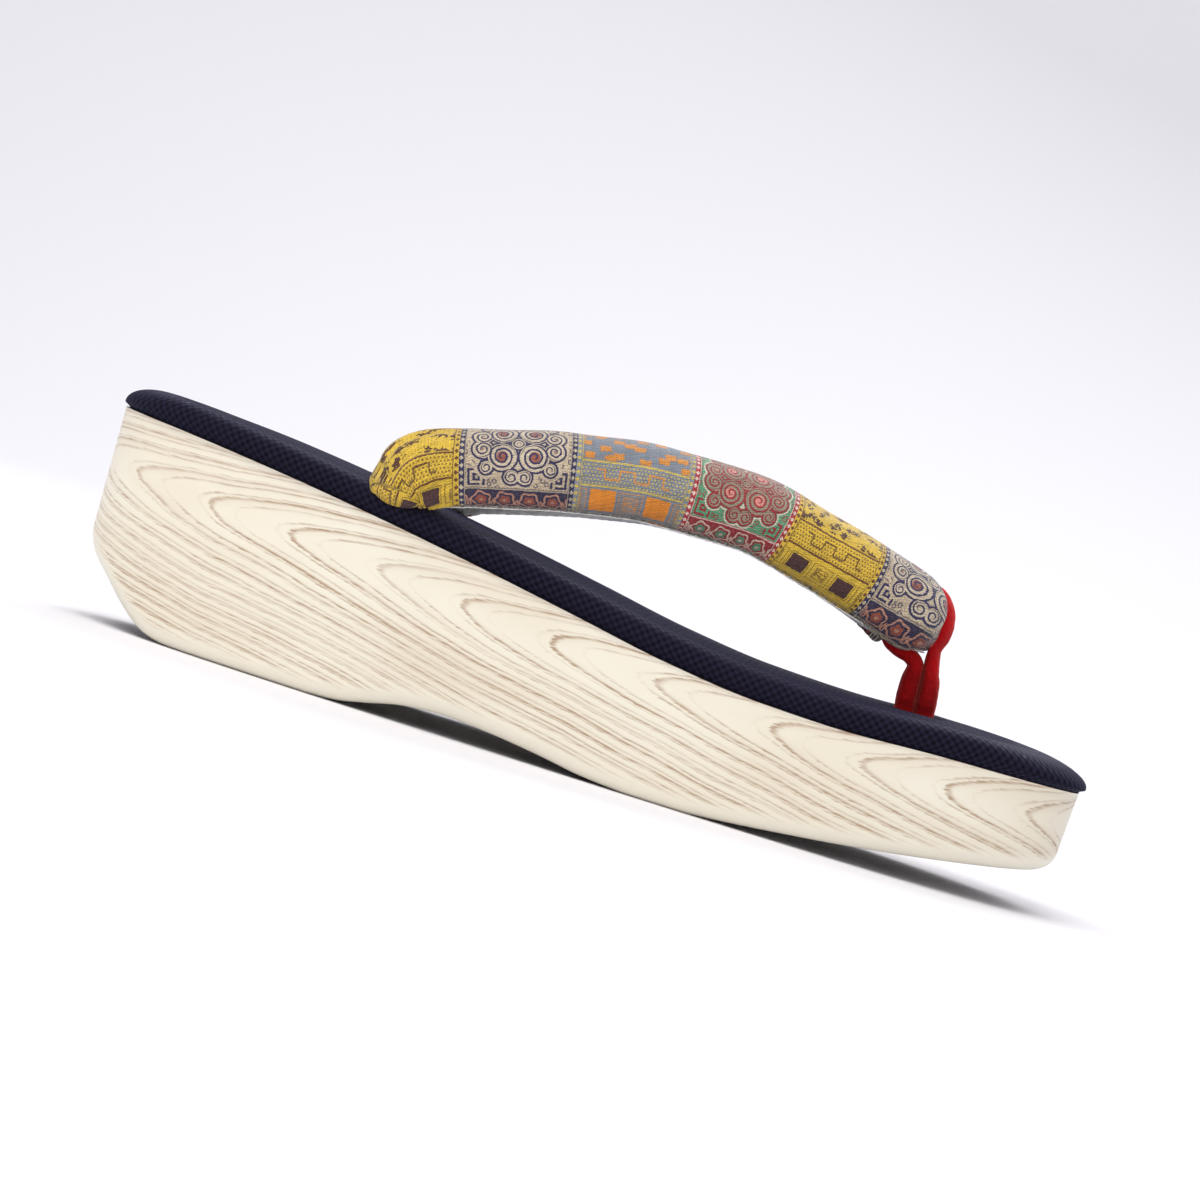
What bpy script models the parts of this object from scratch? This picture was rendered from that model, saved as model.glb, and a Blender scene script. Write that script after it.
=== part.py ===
"""A wedge zori sandal about 245 mm long, modelled in metres with +Z up.

It stands on its sole with the toe along +X and the left side along +Y. The origin is on the floor, under
the middle of the length. Both sides of the XZ plane are alike, so it fits either foot.
"""

import math

import bmesh
import bpy
import numpy as np

# Outline of the block's upper rim seen from above
LENGTH = 0.2446
RIM_WIDTH = 0.0834
HEEL_SQUARENESS = 2.7
TOE_SQUARENESS = 3.0
BALL_FLARE = 0.068

# Heights of the joint between block and pad
HEEL_HEIGHT = 0.0500
TOE_HEIGHT = 0.0302

# Wedge block
END_DRAFT = 0.0006
SIDE_DRAFT = 0.0020
BLOCK_EDGE_RADIUS = 0.0040
HEEL_CUT_RISE = 0.0186
HEEL_CUT_RUN = 0.0340
ARCH_START = 0.0645
ARCH_SPAN = 0.0780
ARCH_RISE = 0.0047
TOE_SPRING = 0.0100
TOE_SPRING_RUN = 0.0865

# Pad, whose upper edge rounds off over a longer run at the nose and at the heel than at the sides
PAD_THICKNESS = 0.0065
PAD_SIDE_OVERHANG = 0.0008
PAD_HEEL_OVERHANG = 0.0005
PAD_TOE_OVERHANG = 0.0013
PAD_TUCK = 0.0014
PAD_BELLY_TUCK = 0.3
PAD_BELLY_RISE = 0.4
SIDE_EDGE_RUN = 0.0046
SIDE_EDGE_DROP = 0.0036
NOSE_EDGE_RUN = 0.0190
HEEL_EDGE_RUN = 0.0115
END_EDGE_DROP = 0.0055
NOSE_LENGTH = 0.0300
HEEL_LENGTH = 0.0180

# Stuffed strap
STRAP_ROOT_FROM_HEEL = 0.0724
STRAP_FRONT_FROM_HEEL = 0.1955
STRAP_SPREAD = 0.0344
STRAP_ARCH = 0.0285
STRAP_HALF_WIDTH = 0.0100
STRAP_HALF_HEIGHT = 0.00865
STRAP_SEAM_DEPTH = 0.80
STRAP_PLUG_SHARE = 0.44
STRAP_PLUG_STANDS = 0.0013

# Felt strip under the strap
FELT_EDGE = 0.0008
FELT_OVERHANG = 0.04
FELT_DEPTH = 1.02
FELT_SHOULDER_ACROSS = 0.62
FELT_SHOULDER_DEPTH = 0.55
LINING_FROM_ROOT = 0.0105

# Front thong
THONG_BAND = 0.0023
THONG_HALF_WIDTH = 0.0055
THONG_LEG_THICKNESS = 0.0044
THONG_LEG_HALF_WIDTH = 0.0066
THONG_BACK_HALF_WIDTH = 0.0025
THONG_NECK_DROP = 0.0005
THONG_LEG_LEAN = 0.0011
THONG_HOLE_FROM_HEEL = 0.2003
THONG_HOLE_CLEARANCE = 0.0005
THONG_HOLE_POWER = 5
THONG_SECTION_POWER = 4
LOOP_FROM_DEGREES = -32
LOOP_TO_DEGREES = 200
LOOP_NARROWS_FROM = 60
LOOP_NARROWS_OVER = 75

# Gap that separate pieces keep
GAP = 0.0003

# Resolution
OUTLINE_STEPS = 64
OUTLINE_FINE_STEPS = 4000
BLOCK_EDGE_STEPS = 3
PAD_EDGE_STEPS = 4
HOLE_SIDES = 24
STRAP_STEPS = 30
STRAP_SIDES = 20
STRAP_END_CROWDING = 0.45
LOOP_STEPS = 14
THONG_STEPS = 59
THONG_SIDES = 12
SHARP_DEGREES = 40

HEEL_X = PAD_HEEL_OVERHANG - LENGTH / 2
TOE_X = LENGTH / 2 - PAD_TOE_OVERHANG

# Joint line seen from the side: share of the length from the heel, share of the drop from heel to toe
RIM_COLUMNS = ("length_share", "drop_share")
RIM = (
    (0.00, 1.030),
    (0.09, 0.950),
    (0.19, 0.830),
    (0.29, 0.675),
    (0.39, 0.490),
    (0.49, 0.285),
    (0.59, 0.075),
    (0.68, -0.040),
    (0.76, -0.065),
    (0.86, -0.020),
    (1.00, 0.000),
)

# Cut at the back of the heel: share of its run from the back, share of its rise
HEEL_CUT_COLUMNS = ("run_share", "rise_share")
HEEL_CUT = (
    (0.00, 1.000),
    (0.09, 0.835),
    (0.25, 0.625),
    (0.42, 0.370),
    (0.56, 0.185),
    (0.70, 0.060),
    (0.84, 0.012),
    (1.00, 0.000),
)

# Arch between heel and forefoot: share of its span from the heel side, share of its rise
ARCH_COLUMNS = ("span_share", "rise_share")
ARCH = (
    (0.00, 0.00),
    (0.09, 0.10),
    (0.18, 0.41),
    (0.30, 0.86),
    (0.42, 1.00),
    (0.54, 0.88),
    (0.70, 0.59),
    (0.86, 0.19),
    (1.00, 0.00),
)

# Toe spring: share of its run towards the toe, share of its rise
SPRING_COLUMNS = ("run_share", "rise_share")
SPRING = (
    (0.00, 0.00),
    (0.10, 0.07),
    (0.25, 0.20),
    (0.50, 0.45),
    (0.76, 0.77),
    (0.90, 0.96),
    (1.00, 1.12),
)

# Left half of the strap from the thong back to the root: share of the reach from root to front, share of
# the spread, share of the arch, shares of half width and half height, heading of the outer side from +X in
# degrees, and lean of the top towards the outer side in degrees
STRAP_COLUMNS = ("reach", "spread", "arch", "width", "height", "heading", "lean")
STRAP = (
    (1.000, 0.000, 0.755, 0.60, 0.79, 0, 0),
    (0.997, 0.090, 0.754, 0.59, 0.79, 15, 0),
    (0.991, 0.167, 0.756, 0.60, 0.80, 28, 0),
    (0.983, 0.245, 0.793, 0.75, 0.97, 39, 0),
    (0.960, 0.325, 0.830, 0.90, 1.05, 51, 1),
    (0.909, 0.405, 0.867, 1.00, 1.07, 62, 4),
    (0.840, 0.488, 0.915, 1.01, 1.04, 68, 7),
    (0.774, 0.560, 0.958, 1.00, 1.01, 71, 9),
    (0.612, 0.721, 1.015, 1.00, 1.00, 75, 11),
    (0.458, 0.849, 0.928, 1.00, 1.00, 78, 12),
    (0.297, 0.942, 0.740, 1.00, 1.00, 82, 12),
    (0.174, 0.988, 0.545, 1.00, 1.00, 86, 12),
    (0.095, 1.000, 0.412, 1.00, 1.00, 90, 13),
    (0.045, 0.995, 0.318, 0.98, 1.00, 90, 16),
    (0.014, 0.985, 0.215, 0.95, 0.97, 90, 18),
    (0.000, 0.980, 0.100, 0.88, 0.87, 90, 20),
)

# Legs of the thong from the loop down to the pad's top: share of the way down, distance of the leg's
# outer face from the hole's middle as a share of the leg's thickness, thickness share, width share
LEG_COLUMNS = ("down", "outer", "thickness", "width")
LEG = (
    (0.08, 0.76, 0.70, 0.80),
    (0.28, 0.88, 0.83, 0.91),
    (0.52, 1.06, 0.99, 1.00),
    (0.80, 1.10, 1.02, 0.99),
    (1.00, 1.07, 1.00, 0.86),
)

# Band behind and under the strap, where the loop turns into the back leg: distance behind the strap's
# middle and below it as shares of the loop's radii, thickness share of the band, width share of the loop
NECK_COLUMNS = ("behind", "below", "thickness", "width")
NECK = (
    (0.97, 0.66, 1.00, 0.545),
    (0.74, 0.92, 1.00, 0.620),
    (0.40, 1.06, 1.00, 0.740),
    (0.08, 1.15, 1.05, 0.860),
)


def columns(names, table):
    """A table's columns as arrays, by name."""
    return dict(zip(names, np.asarray(table, float).T))


def smooth_through(xs, ys, x):
    """Monotone cubic through points with rising xs, read at x; beyond the ends the end values hold."""
    x = np.clip(np.asarray(x, float), xs[0], xs[-1])
    step = np.diff(xs)
    slope = np.diff(ys) / step
    tangent = np.zeros(len(xs))
    same_way = slope[:-1] * slope[1:] > 0
    w_before = 2 * step[1:] + step[:-1]
    w_after = step[1:] + 2 * step[:-1]
    with np.errstate(divide="ignore", invalid="ignore"):
        mean = (w_before + w_after) / (w_before / slope[:-1] + w_after / slope[1:])
    tangent[1:-1] = np.where(same_way, mean, 0)
    tangent[0] = slope[0]
    tangent[-1] = slope[-1]
    i = np.clip(np.searchsorted(xs, x, side="right") - 1, 0, len(xs) - 2)
    h = step[i]
    t = (x - xs[i]) / h
    start = (1 + 2 * t) * (1 - t) ** 2 * ys[i] + t * (1 - t) ** 2 * h * tangent[i]
    end = t * t * (3 - 2 * t) * ys[i + 1] + t * t * (t - 1) * h * tangent[i + 1]
    return start + end


def superellipse(angle, power):
    """Unit superellipse at angle: its cosine-like and sine-like parts."""
    cos, sin = np.cos(angle), np.sin(angle)
    along = np.sign(cos) * np.abs(cos) ** (2 / power)
    across = np.sign(sin) * np.abs(sin) ** (2 / power)
    return along, across


def eased(share):
    """Share held between 0 and 1 with smooth ends."""
    share = np.clip(share, 0, 1)
    return share * share * (3 - 2 * share)


def quarter_turn(steps):
    """Angles up to a quarter turn, without the zero."""
    return np.linspace(0, math.pi / 2, steps + 1)[1:]


def rim_height(x):
    """Height of the joint between block and pad at x."""
    rim = columns(RIM_COLUMNS, RIM)
    share = smooth_through(rim["length_share"], rim["drop_share"], (x - HEEL_X) / (TOE_X - HEEL_X))
    return TOE_HEIGHT + (HEEL_HEIGHT - TOE_HEIGHT) * share


def pad_top(x):
    """Height of the pad's top face at x."""
    return rim_height(x) + GAP + PAD_THICKNESS


def sole_height(x):
    """Height of the block's underside at x: heel cut, flat, arch, flat, toe spring."""
    cut = columns(HEEL_CUT_COLUMNS, HEEL_CUT)
    arch = columns(ARCH_COLUMNS, ARCH)
    spring = columns(SPRING_COLUMNS, SPRING)
    from_cut = (x - HEEL_X) / HEEL_CUT_RUN
    from_arch = (x - HEEL_X - ARCH_START) / ARCH_SPAN
    from_spring = (x - TOE_X + TOE_SPRING_RUN) / TOE_SPRING_RUN
    height = HEEL_CUT_RISE * smooth_through(cut["run_share"], cut["rise_share"], from_cut)
    height = height + ARCH_RISE * smooth_through(arch["span_share"], arch["rise_share"], from_arch)
    return height + TOE_SPRING * smooth_through(spring["run_share"], spring["rise_share"], from_spring)


def outline():
    """Plan outline at even steps, from the heel along the left side to the toe and back along the right.

    Each half is a superellipse whose exponent differs at heel and toe, widened towards the ball.
    Returns points (n, 2) and outward unit normals (n, 2).
    """
    angle = np.linspace(math.pi, 0, OUTLINE_FINE_STEPS + 1)
    power = np.where(np.cos(angle) < 0, HEEL_SQUARENESS, TOE_SQUARENESS)
    along, across = superellipse(angle, power)
    x = (HEEL_X + TOE_X) / 2 + (TOE_X - HEEL_X) / 2 * along
    y = RIM_WIDTH / 2 * across * (1 + BALL_FLARE * along)
    run = np.concatenate(([0], np.cumsum(np.hypot(np.diff(x), np.diff(y)))))
    even = np.linspace(0, run[-1], OUTLINE_STEPS + 1)
    half = np.stack([np.interp(even, run, x), np.interp(even, run, y)], axis=1)
    half[0, 1] = 0
    half[-1, 1] = 0
    points = np.vstack([half, (half * [1, -1])[::-1][1:-1]])
    tangent = np.roll(points, -1, axis=0) - np.roll(points, 1, axis=0)
    tangent /= np.linalg.norm(tangent, axis=1)[:, None]
    return points, np.stack([-tangent[:, 1], tangent[:, 0]], axis=1)


def faces_of_rings(rings, count, closed_ends):
    """Quads between rings that follow each other, and the fan or strips that close both ends."""
    faces = []
    for r in range(rings - 1):
        for i in range(count):
            j = (i + 1) % count
            a = r * count
            faces.append((a + i, a + j, a + count + j, a + count + i))
    if closed_ends == "flat":
        faces.append(tuple(range(count))[::-1])
        faces.append(tuple((rings - 1) * count + i for i in range(count)))
    if closed_ends == "strips":
        for base in (0, (rings - 1) * count):
            for i in range(count // 2):
                mirror_i, mirror_j = (count - i) % count, count - i - 1
                corners = [i, i + 1, mirror_j, mirror_i]
                quad = tuple(base + k for k in dict.fromkeys(corners))
                faces.append(quad)
    return faces


def make_solid(name, points, faces, colour, roughness, sheen=0.0):
    """One closed object from points and faces, with its own material."""
    mesh = bpy.data.meshes.new(name)
    mesh.from_pydata([tuple(map(float, p)) for p in points], [], faces)
    work = bmesh.new()
    work.from_mesh(mesh)
    bmesh.ops.recalc_face_normals(work, faces=work.faces)
    work.to_mesh(mesh)
    work.free()
    mesh.shade_smooth()
    mesh.set_sharp_from_angle(angle=math.radians(SHARP_DEGREES))
    material = bpy.data.materials.new(name)
    material.use_nodes = True
    shader = material.node_tree.nodes["Principled BSDF"]
    shader.inputs["Base Color"].default_value = (*colour, 1)
    shader.inputs["Roughness"].default_value = roughness
    shader.inputs["Sheen Weight"].default_value = sheen
    mesh.materials.append(material)
    piece = bpy.data.objects.new(name, mesh)
    bpy.context.scene.collection.objects.link(piece)
    return piece


def ring_at(points, normals, inset, height_of, lift):
    """The outline moved inwards by inset, at height_of(x) + lift."""
    flat = points - normals * np.reshape(inset, (-1, 1))
    return np.column_stack([flat, height_of(flat[:, 0]) + lift])


def end_share(x, length, end):
    """How near x is to an end of the outline: 0 from length away, 1 at the end, smooth between."""
    return eased(1 - np.abs(end - x) / length)


def make_block():
    """Wedge block: rim, drafted wall, rounded lower edge and shaped underside."""
    points, normals = outline()
    draft = END_DRAFT + (SIDE_DRAFT - END_DRAFT) * np.abs(normals[:, 1])
    rings = [ring_at(points, normals, 0, rim_height, 0)]
    foot = ring_at(points, normals, draft, sole_height, BLOCK_EDGE_RADIUS)
    rings.append((rings[0] + foot) / 2)
    rings.append(foot)
    for turn in quarter_turn(BLOCK_EDGE_STEPS):
        inset = draft + BLOCK_EDGE_RADIUS * (1 - math.cos(turn))
        lift = BLOCK_EDGE_RADIUS * (1 - math.sin(turn))
        rings.append(ring_at(points, normals, inset, sole_height, lift))
    faces = faces_of_rings(len(rings), len(points), "strips")
    return make_solid("sole_block", np.vstack(rings), faces, (0.76, 0.70, 0.60), 0.45)


def make_pad():
    """Pad: tucked lower edge, upright side, rounded upper edge, and holes for strap and thong."""
    points, normals = outline()
    nose = end_share(points[:, 0], NOSE_LENGTH, TOE_X)
    heel = end_share(points[:, 0], HEEL_LENGTH, HEEL_X)
    run = SIDE_EDGE_RUN + (NOSE_EDGE_RUN - SIDE_EDGE_RUN) * nose
    run += (HEEL_EDGE_RUN - SIDE_EDGE_RUN) * heel
    drop = SIDE_EDGE_DROP + (END_EDGE_DROP - SIDE_EDGE_DROP) * np.maximum(nose, heel)
    overhang = PAD_SIDE_OVERHANG * np.abs(normals[:, 1])
    overhang += PAD_HEEL_OVERHANG * np.clip(-normals[:, 0], 0, 1)
    overhang += PAD_TOE_OVERHANG * np.clip(normals[:, 0], 0, 1)
    shoulder = PAD_THICKNESS - drop
    belly_inset = PAD_BELLY_TUCK * PAD_TUCK - overhang
    belly_lift = GAP + PAD_BELLY_RISE * shoulder
    rings = [
        ring_at(points, normals, PAD_TUCK - overhang, rim_height, GAP),
        ring_at(points, normals, belly_inset, rim_height, belly_lift),
        ring_at(points, normals, -overhang, rim_height, GAP + shoulder),
    ]
    for turn in quarter_turn(PAD_EDGE_STEPS):
        inset = run * (1 - math.cos(turn)) - overhang
        rings.append(ring_at(points, normals, inset, rim_height, GAP + shoulder + drop * math.sin(turn)))
    faces = faces_of_rings(len(rings), len(points), "strips")
    pad = make_solid("footbed", np.vstack(rings), faces, (0.030, 0.028, 0.060), 0.75, sheen=0.3)
    root_x, _ = strap_ends()
    radii = (STRAP_PLUG_SHARE * STRAP_HALF_HEIGHT + GAP, STRAP_PLUG_SHARE * STRAP_HALF_WIDTH + GAP)
    cut_hole(pad, "left_root_hole", root_x, root_y(), radii)
    cut_hole(pad, "right_root_hole", root_x, -root_y(), radii)
    leg = columns(LEG_COLUMNS, LEG)
    hole_reach = leg["outer"][-1] * THONG_LEG_THICKNESS + THONG_HOLE_CLEARANCE
    hole_width = leg["width"][-1] * THONG_LEG_HALF_WIDTH + THONG_HOLE_CLEARANCE
    hole_x = HEEL_X + THONG_HOLE_FROM_HEEL
    cut_hole(pad, "thong_hole", hole_x, 0, (hole_reach, hole_width), THONG_HOLE_POWER)
    return pad


def cut_hole(piece, name, x, y, radii, power=2):
    """Upright hole through the pad, a superellipse of the given radii and power."""
    angle = np.linspace(0, 2 * math.pi, HOLE_SIDES, endpoint=False)
    along, across = superellipse(angle, power)
    ring = np.column_stack([x + radii[0] * along, y + radii[1] * across])
    low = np.column_stack([ring, np.full(HOLE_SIDES, rim_height(x) - PAD_THICKNESS)])
    high = np.column_stack([ring, np.full(HOLE_SIDES, pad_top(x) + PAD_THICKNESS)])
    faces = faces_of_rings(2, HOLE_SIDES, "flat")
    cutter = make_solid(name, np.vstack([low, high]), faces, (1, 0, 1), 0.5)
    cutter.hide_render = True
    cutter.display_type = "WIRE"
    cut = piece.modifiers.new(name, "BOOLEAN")
    cut.operation = "DIFFERENCE"
    cut.solver = "EXACT"
    cut.object = cutter


def strap_ends():
    """X of the strap's roots and of its front."""
    return HEEL_X + STRAP_ROOT_FROM_HEEL, HEEL_X + STRAP_FRONT_FROM_HEEL


def root_y():
    """Y of the left root."""
    return STRAP_SPREAD * columns(STRAP_COLUMNS, STRAP)["spread"][-1]


def strap_frames():
    """Sections of the whole strap, from the right root over the front to the left root.

    Returns centres, side vectors, up vectors, half widths and half heights. The first and last two
    sections are the gathered plug that goes down into the pad.
    """
    row = columns(STRAP_COLUMNS, STRAP)
    root_x, front_x = strap_ends()
    x = root_x + (front_x - root_x) * row["reach"]
    base = pad_top(root_x) + (pad_top(front_x) - pad_top(root_x)) * row["reach"]
    path = np.column_stack([x, STRAP_SPREAD * row["spread"], base + STRAP_ARCH * row["arch"]])
    run = np.concatenate(([0], np.cumsum(np.linalg.norm(np.diff(path, axis=0), axis=1))))
    share = np.linspace(0, 1, STRAP_STEPS + 1)
    crowded = share - STRAP_END_CROWDING * np.sin(2 * math.pi * share) / (2 * math.pi)
    stations = run[-1] * crowded
    centre = np.column_stack([smooth_through(run, path[:, k], stations) for k in range(3)])
    w = smooth_through(run, row["width"], stations)
    h = smooth_through(run, row["height"], stations)
    head = smooth_through(run, row["heading"], stations)
    lean = smooth_through(run, row["lean"], stations)
    tangent = np.gradient(centre, stations, axis=0)
    tangent[0] = (0, 1, 0)
    tangent[-1] = (0, 0, -1)
    plug_bottom = rim_height(root_x - STRAP_HALF_HEIGHT) + GAP
    plug_top = pad_top(root_x) + STRAP_PLUG_STANDS
    plug = np.array([[root_x, root_y(), plug_top], [root_x, root_y(), plug_bottom]])
    centre = np.vstack([centre, plug])
    tangent = np.vstack([tangent, [[0, 0, -1]] * 2])
    w = np.append(w, [STRAP_PLUG_SHARE] * 2)
    h = np.append(h, [STRAP_PLUG_SHARE] * 2)
    head = np.radians(np.append(head, [90, 90]))
    lean = np.radians(np.append(lean, [0, 0]))
    tangent /= np.linalg.norm(tangent, axis=1)[:, None]
    side = np.column_stack([np.cos(head), np.sin(head), np.zeros(len(head))])
    side -= tangent * np.sum(side * tangent, axis=1)[:, None]
    side /= np.linalg.norm(side, axis=1)[:, None]
    up = np.cross(side, tangent)
    cos, sin = np.cos(lean)[:, None], np.sin(lean)[:, None]
    side, up = side * cos - up * sin, up * cos + side * sin
    flip = np.array([1, -1, 1])
    centre = np.vstack([(centre * flip)[::-1], centre[1:]])
    side = np.vstack([(side * flip)[::-1], side[1:]])
    up = np.vstack([(up * flip)[::-1], up[1:]])
    w = np.concatenate([w[::-1], w[1:]]) * STRAP_HALF_WIDTH
    h = np.concatenate([h[::-1], h[1:]]) * STRAP_HALF_HEIGHT
    return centre, side, up, w, h


def sections(centre, side, up, across, rise):
    """Points of one section a row: centre + across * side + rise * up."""
    return centre[:, None] + across[..., None] * side[:, None] + rise[..., None] * up[:, None]


def make_strap_cover():
    """Stuffed tube: an ellipse cut flat at the seam, where the felt strip lies."""
    centre, side, up, w, h = strap_frames()
    seam_angle = math.asin(STRAP_SEAM_DEPTH)
    angle = np.linspace(-seam_angle, math.pi + seam_angle, STRAP_SIDES)
    across = w[:, None] * np.cos(angle)
    rise = h[:, None] * np.sin(angle)
    rings = sections(centre, side, up, across, rise)
    faces = faces_of_rings(len(rings), STRAP_SIDES, "flat")
    return make_solid("strap_cover", rings.reshape(-1, 3), faces, (0.55, 0.42, 0.22), 0.7, sheen=0.3)


def make_strap_lining():
    """Felt strip under the strap, flat above and rounded below, which ends before the roots."""
    centre, side, up, w, h = strap_frames()
    root_x, _ = strap_ends()
    shown = centre[:, 0] > root_x + LINING_FROM_ROOT
    centre, side, up, w, h = centre[shown], side[shown], up[shown], w[shown], h[shown]
    edge = math.sqrt(1 - STRAP_SEAM_DEPTH ** 2) + FELT_OVERHANG
    flat = -STRAP_SEAM_DEPTH * h - GAP
    shoulder = FELT_SHOULDER_ACROSS * edge
    across = w[:, None] * np.array([-edge, -edge, -shoulder, 0, shoulder, edge, edge, 0])
    low = -FELT_DEPTH * h
    rim = flat - FELT_EDGE
    middle = rim + FELT_SHOULDER_DEPTH * (low - rim)
    rise = np.column_stack([flat, rim, middle, low, middle, rim, flat, flat])
    rings = sections(centre, side, up, across, rise)
    faces = faces_of_rings(len(rings), across.shape[1], "flat")
    return make_solid("strap_lining", rings.reshape(-1, 3), faces, (0.72, 0.71, 0.69), 0.95)


def thong_path():
    """Middle line of the folded band in the XZ plane, with its thickness and half width.

    It climbs the front leg, goes round the strap's front section on an ellipse that clears it by the gap,
    and comes down the back leg. The legs keep the gap between them.
    """
    centre, _, _, w, h = strap_frames()
    middle = len(centre) // 2
    strap_x, strap_z = centre[middle, 0], centre[middle, 2]
    strap_foot = FELT_DEPTH * h[middle]
    loop_x = w[middle] + GAP + THONG_BAND / 2
    loop_z = strap_foot + GAP + THONG_BAND / 2
    degrees = np.linspace(LOOP_FROM_DEGREES, LOOP_TO_DEGREES, LOOP_STEPS + 1)
    turn = np.radians(degrees)
    back = eased((degrees - LOOP_NARROWS_FROM) / LOOP_NARROWS_OVER)
    x = strap_x + (loop_x + GAP * back) * np.cos(turn)
    z = strap_z + loop_z * np.sin(turn)
    loop_half = THONG_HALF_WIDTH + (THONG_BACK_HALF_WIDTH - THONG_HALF_WIDTH) * back
    loop = np.column_stack([x, z, np.full(len(turn), THONG_BAND), loop_half])
    neck = columns(NECK_COLUMNS, NECK)
    neck_x = strap_x - loop_x * neck["behind"]
    neck_z = strap_z - loop_z * neck["below"]
    neck_half = THONG_HALF_WIDTH * neck["width"]
    neck_rows = np.column_stack([neck_x, neck_z, THONG_BAND * neck["thickness"], neck_half])
    leg = columns(LEG_COLUMNS, LEG)
    face = leg["outer"] * THONG_LEG_THICKNESS
    thick = np.minimum(leg["thickness"] * THONG_LEG_THICKNESS, face - GAP / 2)
    hole_x = HEEL_X + THONG_HOLE_FROM_HEEL
    leg_z = strap_z - strap_foot - THONG_NECK_DROP
    foot_z = max(pad_top(hole_x - face[-1]), pad_top(hole_x + face[-1])) + GAP
    z = leg_z + (foot_z - leg_z) * leg["down"]
    leg_half = leg["width"] * THONG_LEG_HALF_WIDTH
    leg_x = hole_x - THONG_LEG_LEAN * (1 - leg["down"])
    front_leg = np.column_stack([leg_x + face - thick / 2, z, thick, leg_half])
    back_leg = np.column_stack([leg_x - face + thick / 2, z, thick, leg_half])
    hidden_z = rim_height(hole_x) + 2 * GAP
    hidden = [1, 0, 1, 1]
    front_end = front_leg[-1] * hidden + [0, hidden_z, 0, 0]
    back_end = back_leg[-1] * hidden + [0, hidden_z, 0, 0]
    rows = np.vstack([front_end, front_leg[::-1], loop, neck_rows, back_leg[1:], back_end])
    run = np.concatenate(([0], np.cumsum(np.hypot(*np.diff(rows[:, :2], axis=0).T))))
    even = np.linspace(0, run[-1], THONG_STEPS + 1)
    return [smooth_through(run, rows[:, k], even) for k in range(4)]


def make_thong():
    """Velvet band: rounded flat sections carried along the thong's path."""
    x, z, thickness, half = thong_path()
    centre = np.column_stack([x, np.zeros(len(x)), z])
    tangent = np.gradient(centre, axis=0)
    tangent[0] = (0, 0, 1)
    tangent[-1] = (0, 0, -1)
    tangent /= np.linalg.norm(tangent, axis=1)[:, None]
    side = np.tile([0.0, 1.0, 0.0], (len(x), 1))
    normal = np.cross(side, tangent)
    angle = np.linspace(0, 2 * math.pi, THONG_SIDES, endpoint=False) + math.pi / THONG_SIDES
    wide, thick = superellipse(angle, THONG_SECTION_POWER)
    rings = sections(centre, side, normal, half[:, None] * wide, thickness[:, None] / 2 * thick)
    faces = faces_of_rings(len(rings), THONG_SIDES, "flat")
    return make_solid("front_thong", rings.reshape(-1, 3), faces, (0.55, 0.012, 0.012), 0.85, sheen=0.6)


def main():
    for old in list(bpy.data.objects):
        bpy.data.objects.remove(old)
    make_block()
    make_pad()
    make_strap_cover()
    make_strap_lining()
    make_thong()


main()
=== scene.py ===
"""Looks of a wedge zori sandal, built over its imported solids.

The shapes are worked out with numpy from the same sizes as the solids, at a finer step. Lengths are metres.
"""

import math

import bpy
import numpy as np
from mathutils import Matrix


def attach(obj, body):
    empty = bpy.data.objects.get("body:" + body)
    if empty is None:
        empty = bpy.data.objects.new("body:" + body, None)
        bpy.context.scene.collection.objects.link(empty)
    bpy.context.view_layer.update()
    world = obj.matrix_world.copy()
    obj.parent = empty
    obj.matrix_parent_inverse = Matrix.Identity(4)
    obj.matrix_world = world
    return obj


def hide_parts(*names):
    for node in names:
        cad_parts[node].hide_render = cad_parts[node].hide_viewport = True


bl_info = {
    "name": "Zori sandal looks",
    "version": (1, 0, 0),
    "blender": (4, 5, 0),
    "location": "3D View > Sidebar > Zori",
    "description": "Builds the finished surfaces of a wedge zori sandal and a plain stage",
    "category": "Add Mesh",
}

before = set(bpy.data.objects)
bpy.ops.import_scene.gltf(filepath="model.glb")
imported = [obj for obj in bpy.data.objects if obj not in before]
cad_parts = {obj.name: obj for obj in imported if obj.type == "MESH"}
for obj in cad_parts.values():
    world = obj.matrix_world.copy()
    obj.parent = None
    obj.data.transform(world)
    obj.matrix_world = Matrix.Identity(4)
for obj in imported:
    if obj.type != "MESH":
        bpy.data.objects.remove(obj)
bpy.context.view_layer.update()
BODY = "root"
MM = 0.001

# Block and pad seen from above, from the side, and in section
LENGTH = 0.2446
RIM_WIDTH = 0.0834
HEEL_SQUARENESS = 2.7
TOE_SQUARENESS = 3.0
BALL_FLARE = 0.068
HEEL_HEIGHT = 0.0500
TOE_HEIGHT = 0.0302
END_DRAFT = 0.0006
SIDE_DRAFT = 0.0020
BLOCK_EDGE_RADIUS = 0.0040
HEEL_CUT_RISE = 0.0186
HEEL_CUT_RUN = 0.0340
ARCH_START = 0.0645
ARCH_SPAN = 0.0780
ARCH_RISE = 0.0047
TOE_SPRING = 0.0100
TOE_SPRING_RUN = 0.0865
PAD_THICKNESS = 0.0065
PAD_SIDE_OVERHANG = 0.0008
PAD_HEEL_OVERHANG = 0.0005
PAD_TOE_OVERHANG = 0.0013
PAD_TUCK = 0.0014
SIDE_EDGE_RUN = 0.0046
SIDE_EDGE_DROP = 0.0036
NOSE_EDGE_RUN = 0.0190
HEEL_EDGE_RUN = 0.0115
END_EDGE_DROP = 0.0055
NOSE_LENGTH = 0.0300
HEEL_LENGTH = 0.0180
GAP = 0.0003
HEEL_X = PAD_HEEL_OVERHANG - LENGTH / 2
TOE_X = LENGTH / 2 - PAD_TOE_OVERHANG

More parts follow.
